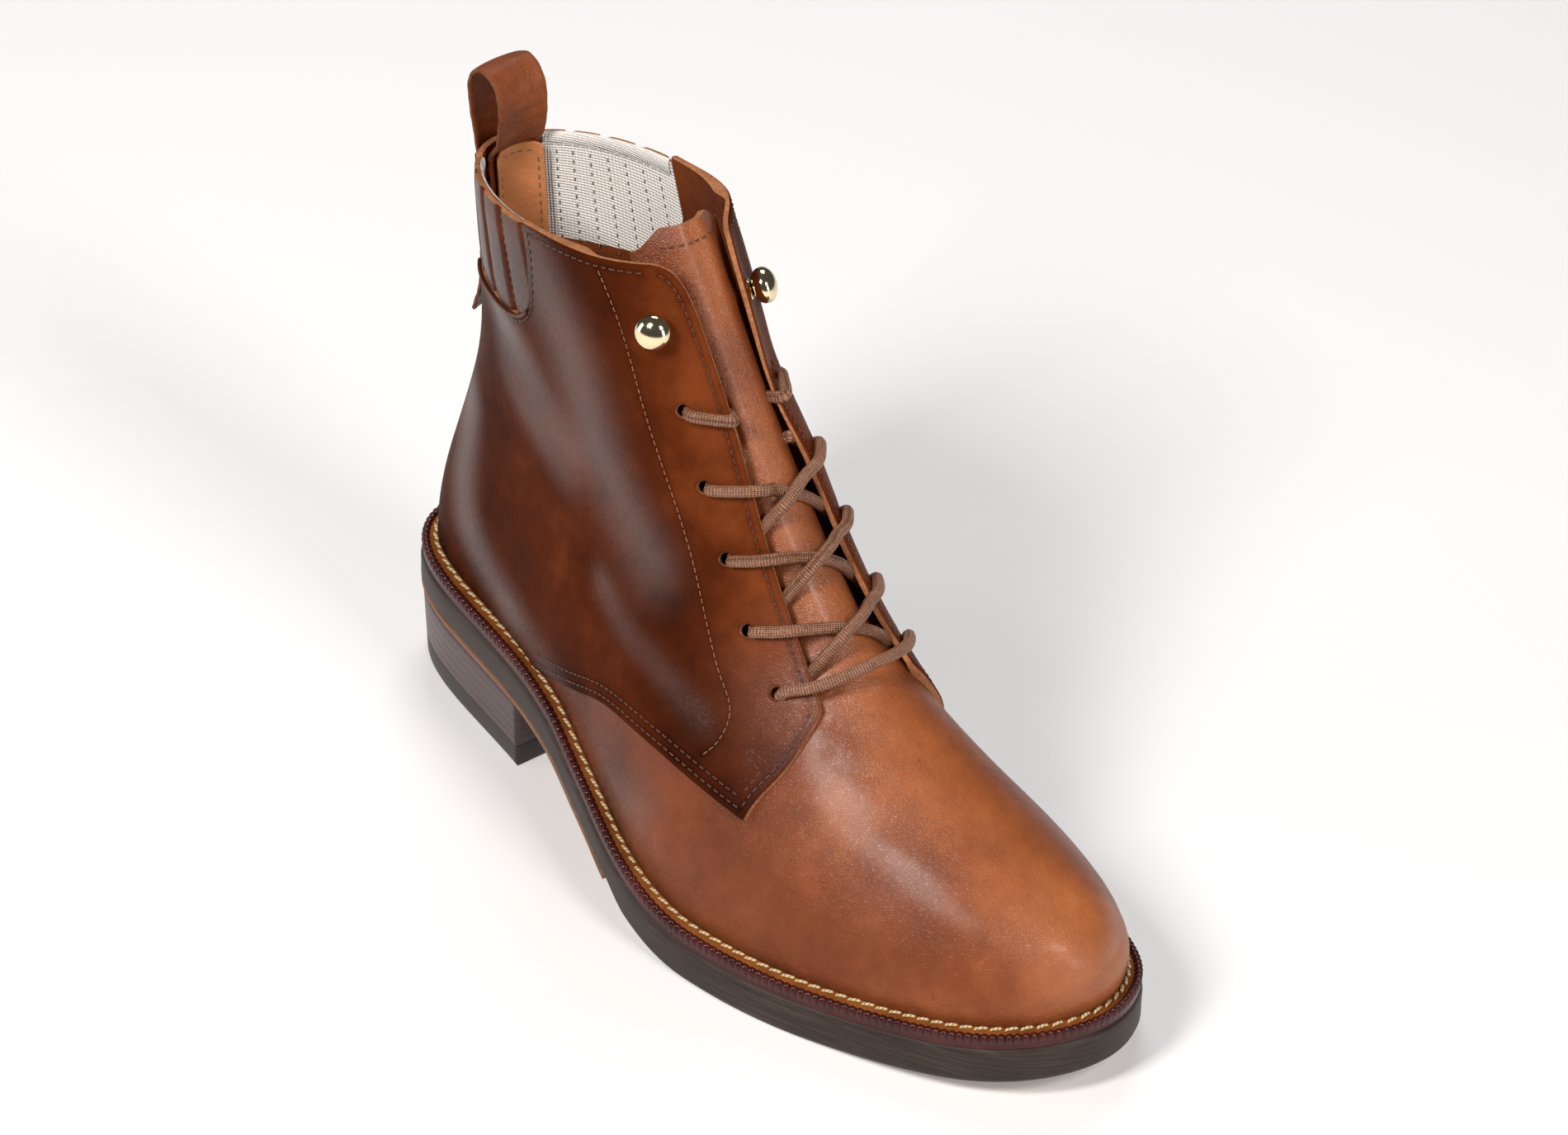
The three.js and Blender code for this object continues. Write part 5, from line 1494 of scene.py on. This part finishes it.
mesh_object("lace_strand", points, faces, [lace_braid], uv=np.stack([run_along, ring], 1),
            slot="lace", replaces=["lace_bar"] + [f"lace_crossing_{i}" for i in range(1, 5)])

# Camera
AZIMUTH, ELEVATION, ROLL = 0.8656475, 0.6275587, 0.0337972
DISTANCE = 3199.27
FOCAL_PIXELS, PHOTO_WIDTH = 14416.3, 1900
back = np.array([math.sin(AZIMUTH) * math.cos(ELEVATION), -math.cos(AZIMUTH) * math.cos(ELEVATION),
                 math.sin(ELEVATION)])
right = unit(np.cross([0, 0, 1.0], back))
up = np.cross(back, right)
right, up = (math.cos(ROLL) * right + math.sin(ROLL) * up,
             math.cos(ROLL) * up - math.sin(ROLL) * right)
TARGET_X, TARGET_Z, TARGET_RIGHT, TARGET_UP = 11.35, 60, -2.0678, 32.2364
SENSOR_WIDTH = 36
target = np.array([TARGET_X, SHIFT[1], TARGET_Z]) + right * TARGET_RIGHT + up * TARGET_UP
place = (target + back * DISTANCE) * MM
camera = bpy.data.objects.new("camera", bpy.data.cameras.new("camera"))
camera.data.sensor_width = SENSOR_WIDTH
camera.data.lens = FOCAL_PIXELS / PHOTO_WIDTH * SENSOR_WIDTH
camera.data.clip_end = 50
camera.matrix_world = Matrix([[*row, place[i]] for i, row in
                              enumerate(np.stack([right, up, back], 1))] + [[0, 0, 0, 1]])
bpy.context.scene.collection.objects.link(camera)
bpy.context.scene.camera = camera

# Floor and light
FLOOR_HALF = 6
kit = Shading("floor")
kit.out("Base Color", (0.78, 0.78, 0.785, 1))
kit.out("Roughness", 0.7)
kit.out("Emission Color", (1, 1, 1, 1))
# The floor glows, most within 0.35 m of its middle and not at all beyond 1.1 m: painted light, a
# pool of it round the boot.
distance = kit.node("VectorMath", {0: kit.where}, operation="LENGTH").outputs["Value"]
painted_floor_glow = kit.node("MapRange", {"Value": distance, "From Min": 0.35, "From Max": 1.1, "To Min": 0.16,
                             "To Max": 0.0}, interpolation_type="SMOOTHSTEP")
kit.out("Emission Strength", painted_floor_glow.outputs["Result"])
floor_mesh = bpy.data.meshes.new("floor")
floor_mesh.from_pydata([(x * FLOOR_HALF, y * FLOOR_HALF, 0)
                        for x, y in ((-1, -1), (1, -1), (1, 1), (-1, 1))], [], [(0, 1, 2, 3)])
floor_mesh.materials.append(kit.material)
floor = bpy.data.objects.new("floor", floor_mesh)
bpy.context.scene.collection.objects.link(floor)


def softbox(name, place, aim, size, watts, color=(1, 1, 1)):
    """A soft light of a size in metres, aimed at a point."""
    light = bpy.data.lights.new(name, "AREA")
    light.shape = "RECTANGLE"
    light.size, light.size_y = size
    light.energy = watts
    light.color = color
    obj = bpy.data.objects.new(name, light)
    obj.location = place
    obj.rotation_euler = (Vector(aim) - Vector(place)).to_track_quat("-Z", "Y").to_euler()
    bpy.context.scene.collection.objects.link(obj)


MIDDLE = (0, 0, 0.08)
WARM = (1, 0.95, 0.9)
softbox("over_vamp", (0.1, -1.08, 1.22), (0.03, 0, 0.06), (0.36, 0.5), 21, WARM)
softbox("over_toe", (1.22, 0.02, 1.2), (0.12, 0, 0.04), (0.4, 0.4), 11, WARM)
softbox("front", (1.5, 0.1, 0.46), MIDDLE, (0.3, 0.7), 6)
softbox("over_back", (-0.7, 0.6, 1.3), MIDDLE, (0.6, 0.6), 7)
softbox("left", (-0.95, -1.15, 0.42), MIDDLE, (0.5, 0.9), 5)
world = bpy.data.worlds.new("studio")
world.use_nodes = True
background = world.node_tree.nodes["Background"]
background.inputs["Color"].default_value = (1, 1, 1, 1)
background.inputs["Strength"].default_value = 0.07
bpy.context.scene.world = world
bpy.context.scene.view_settings.view_transform = "Standard"
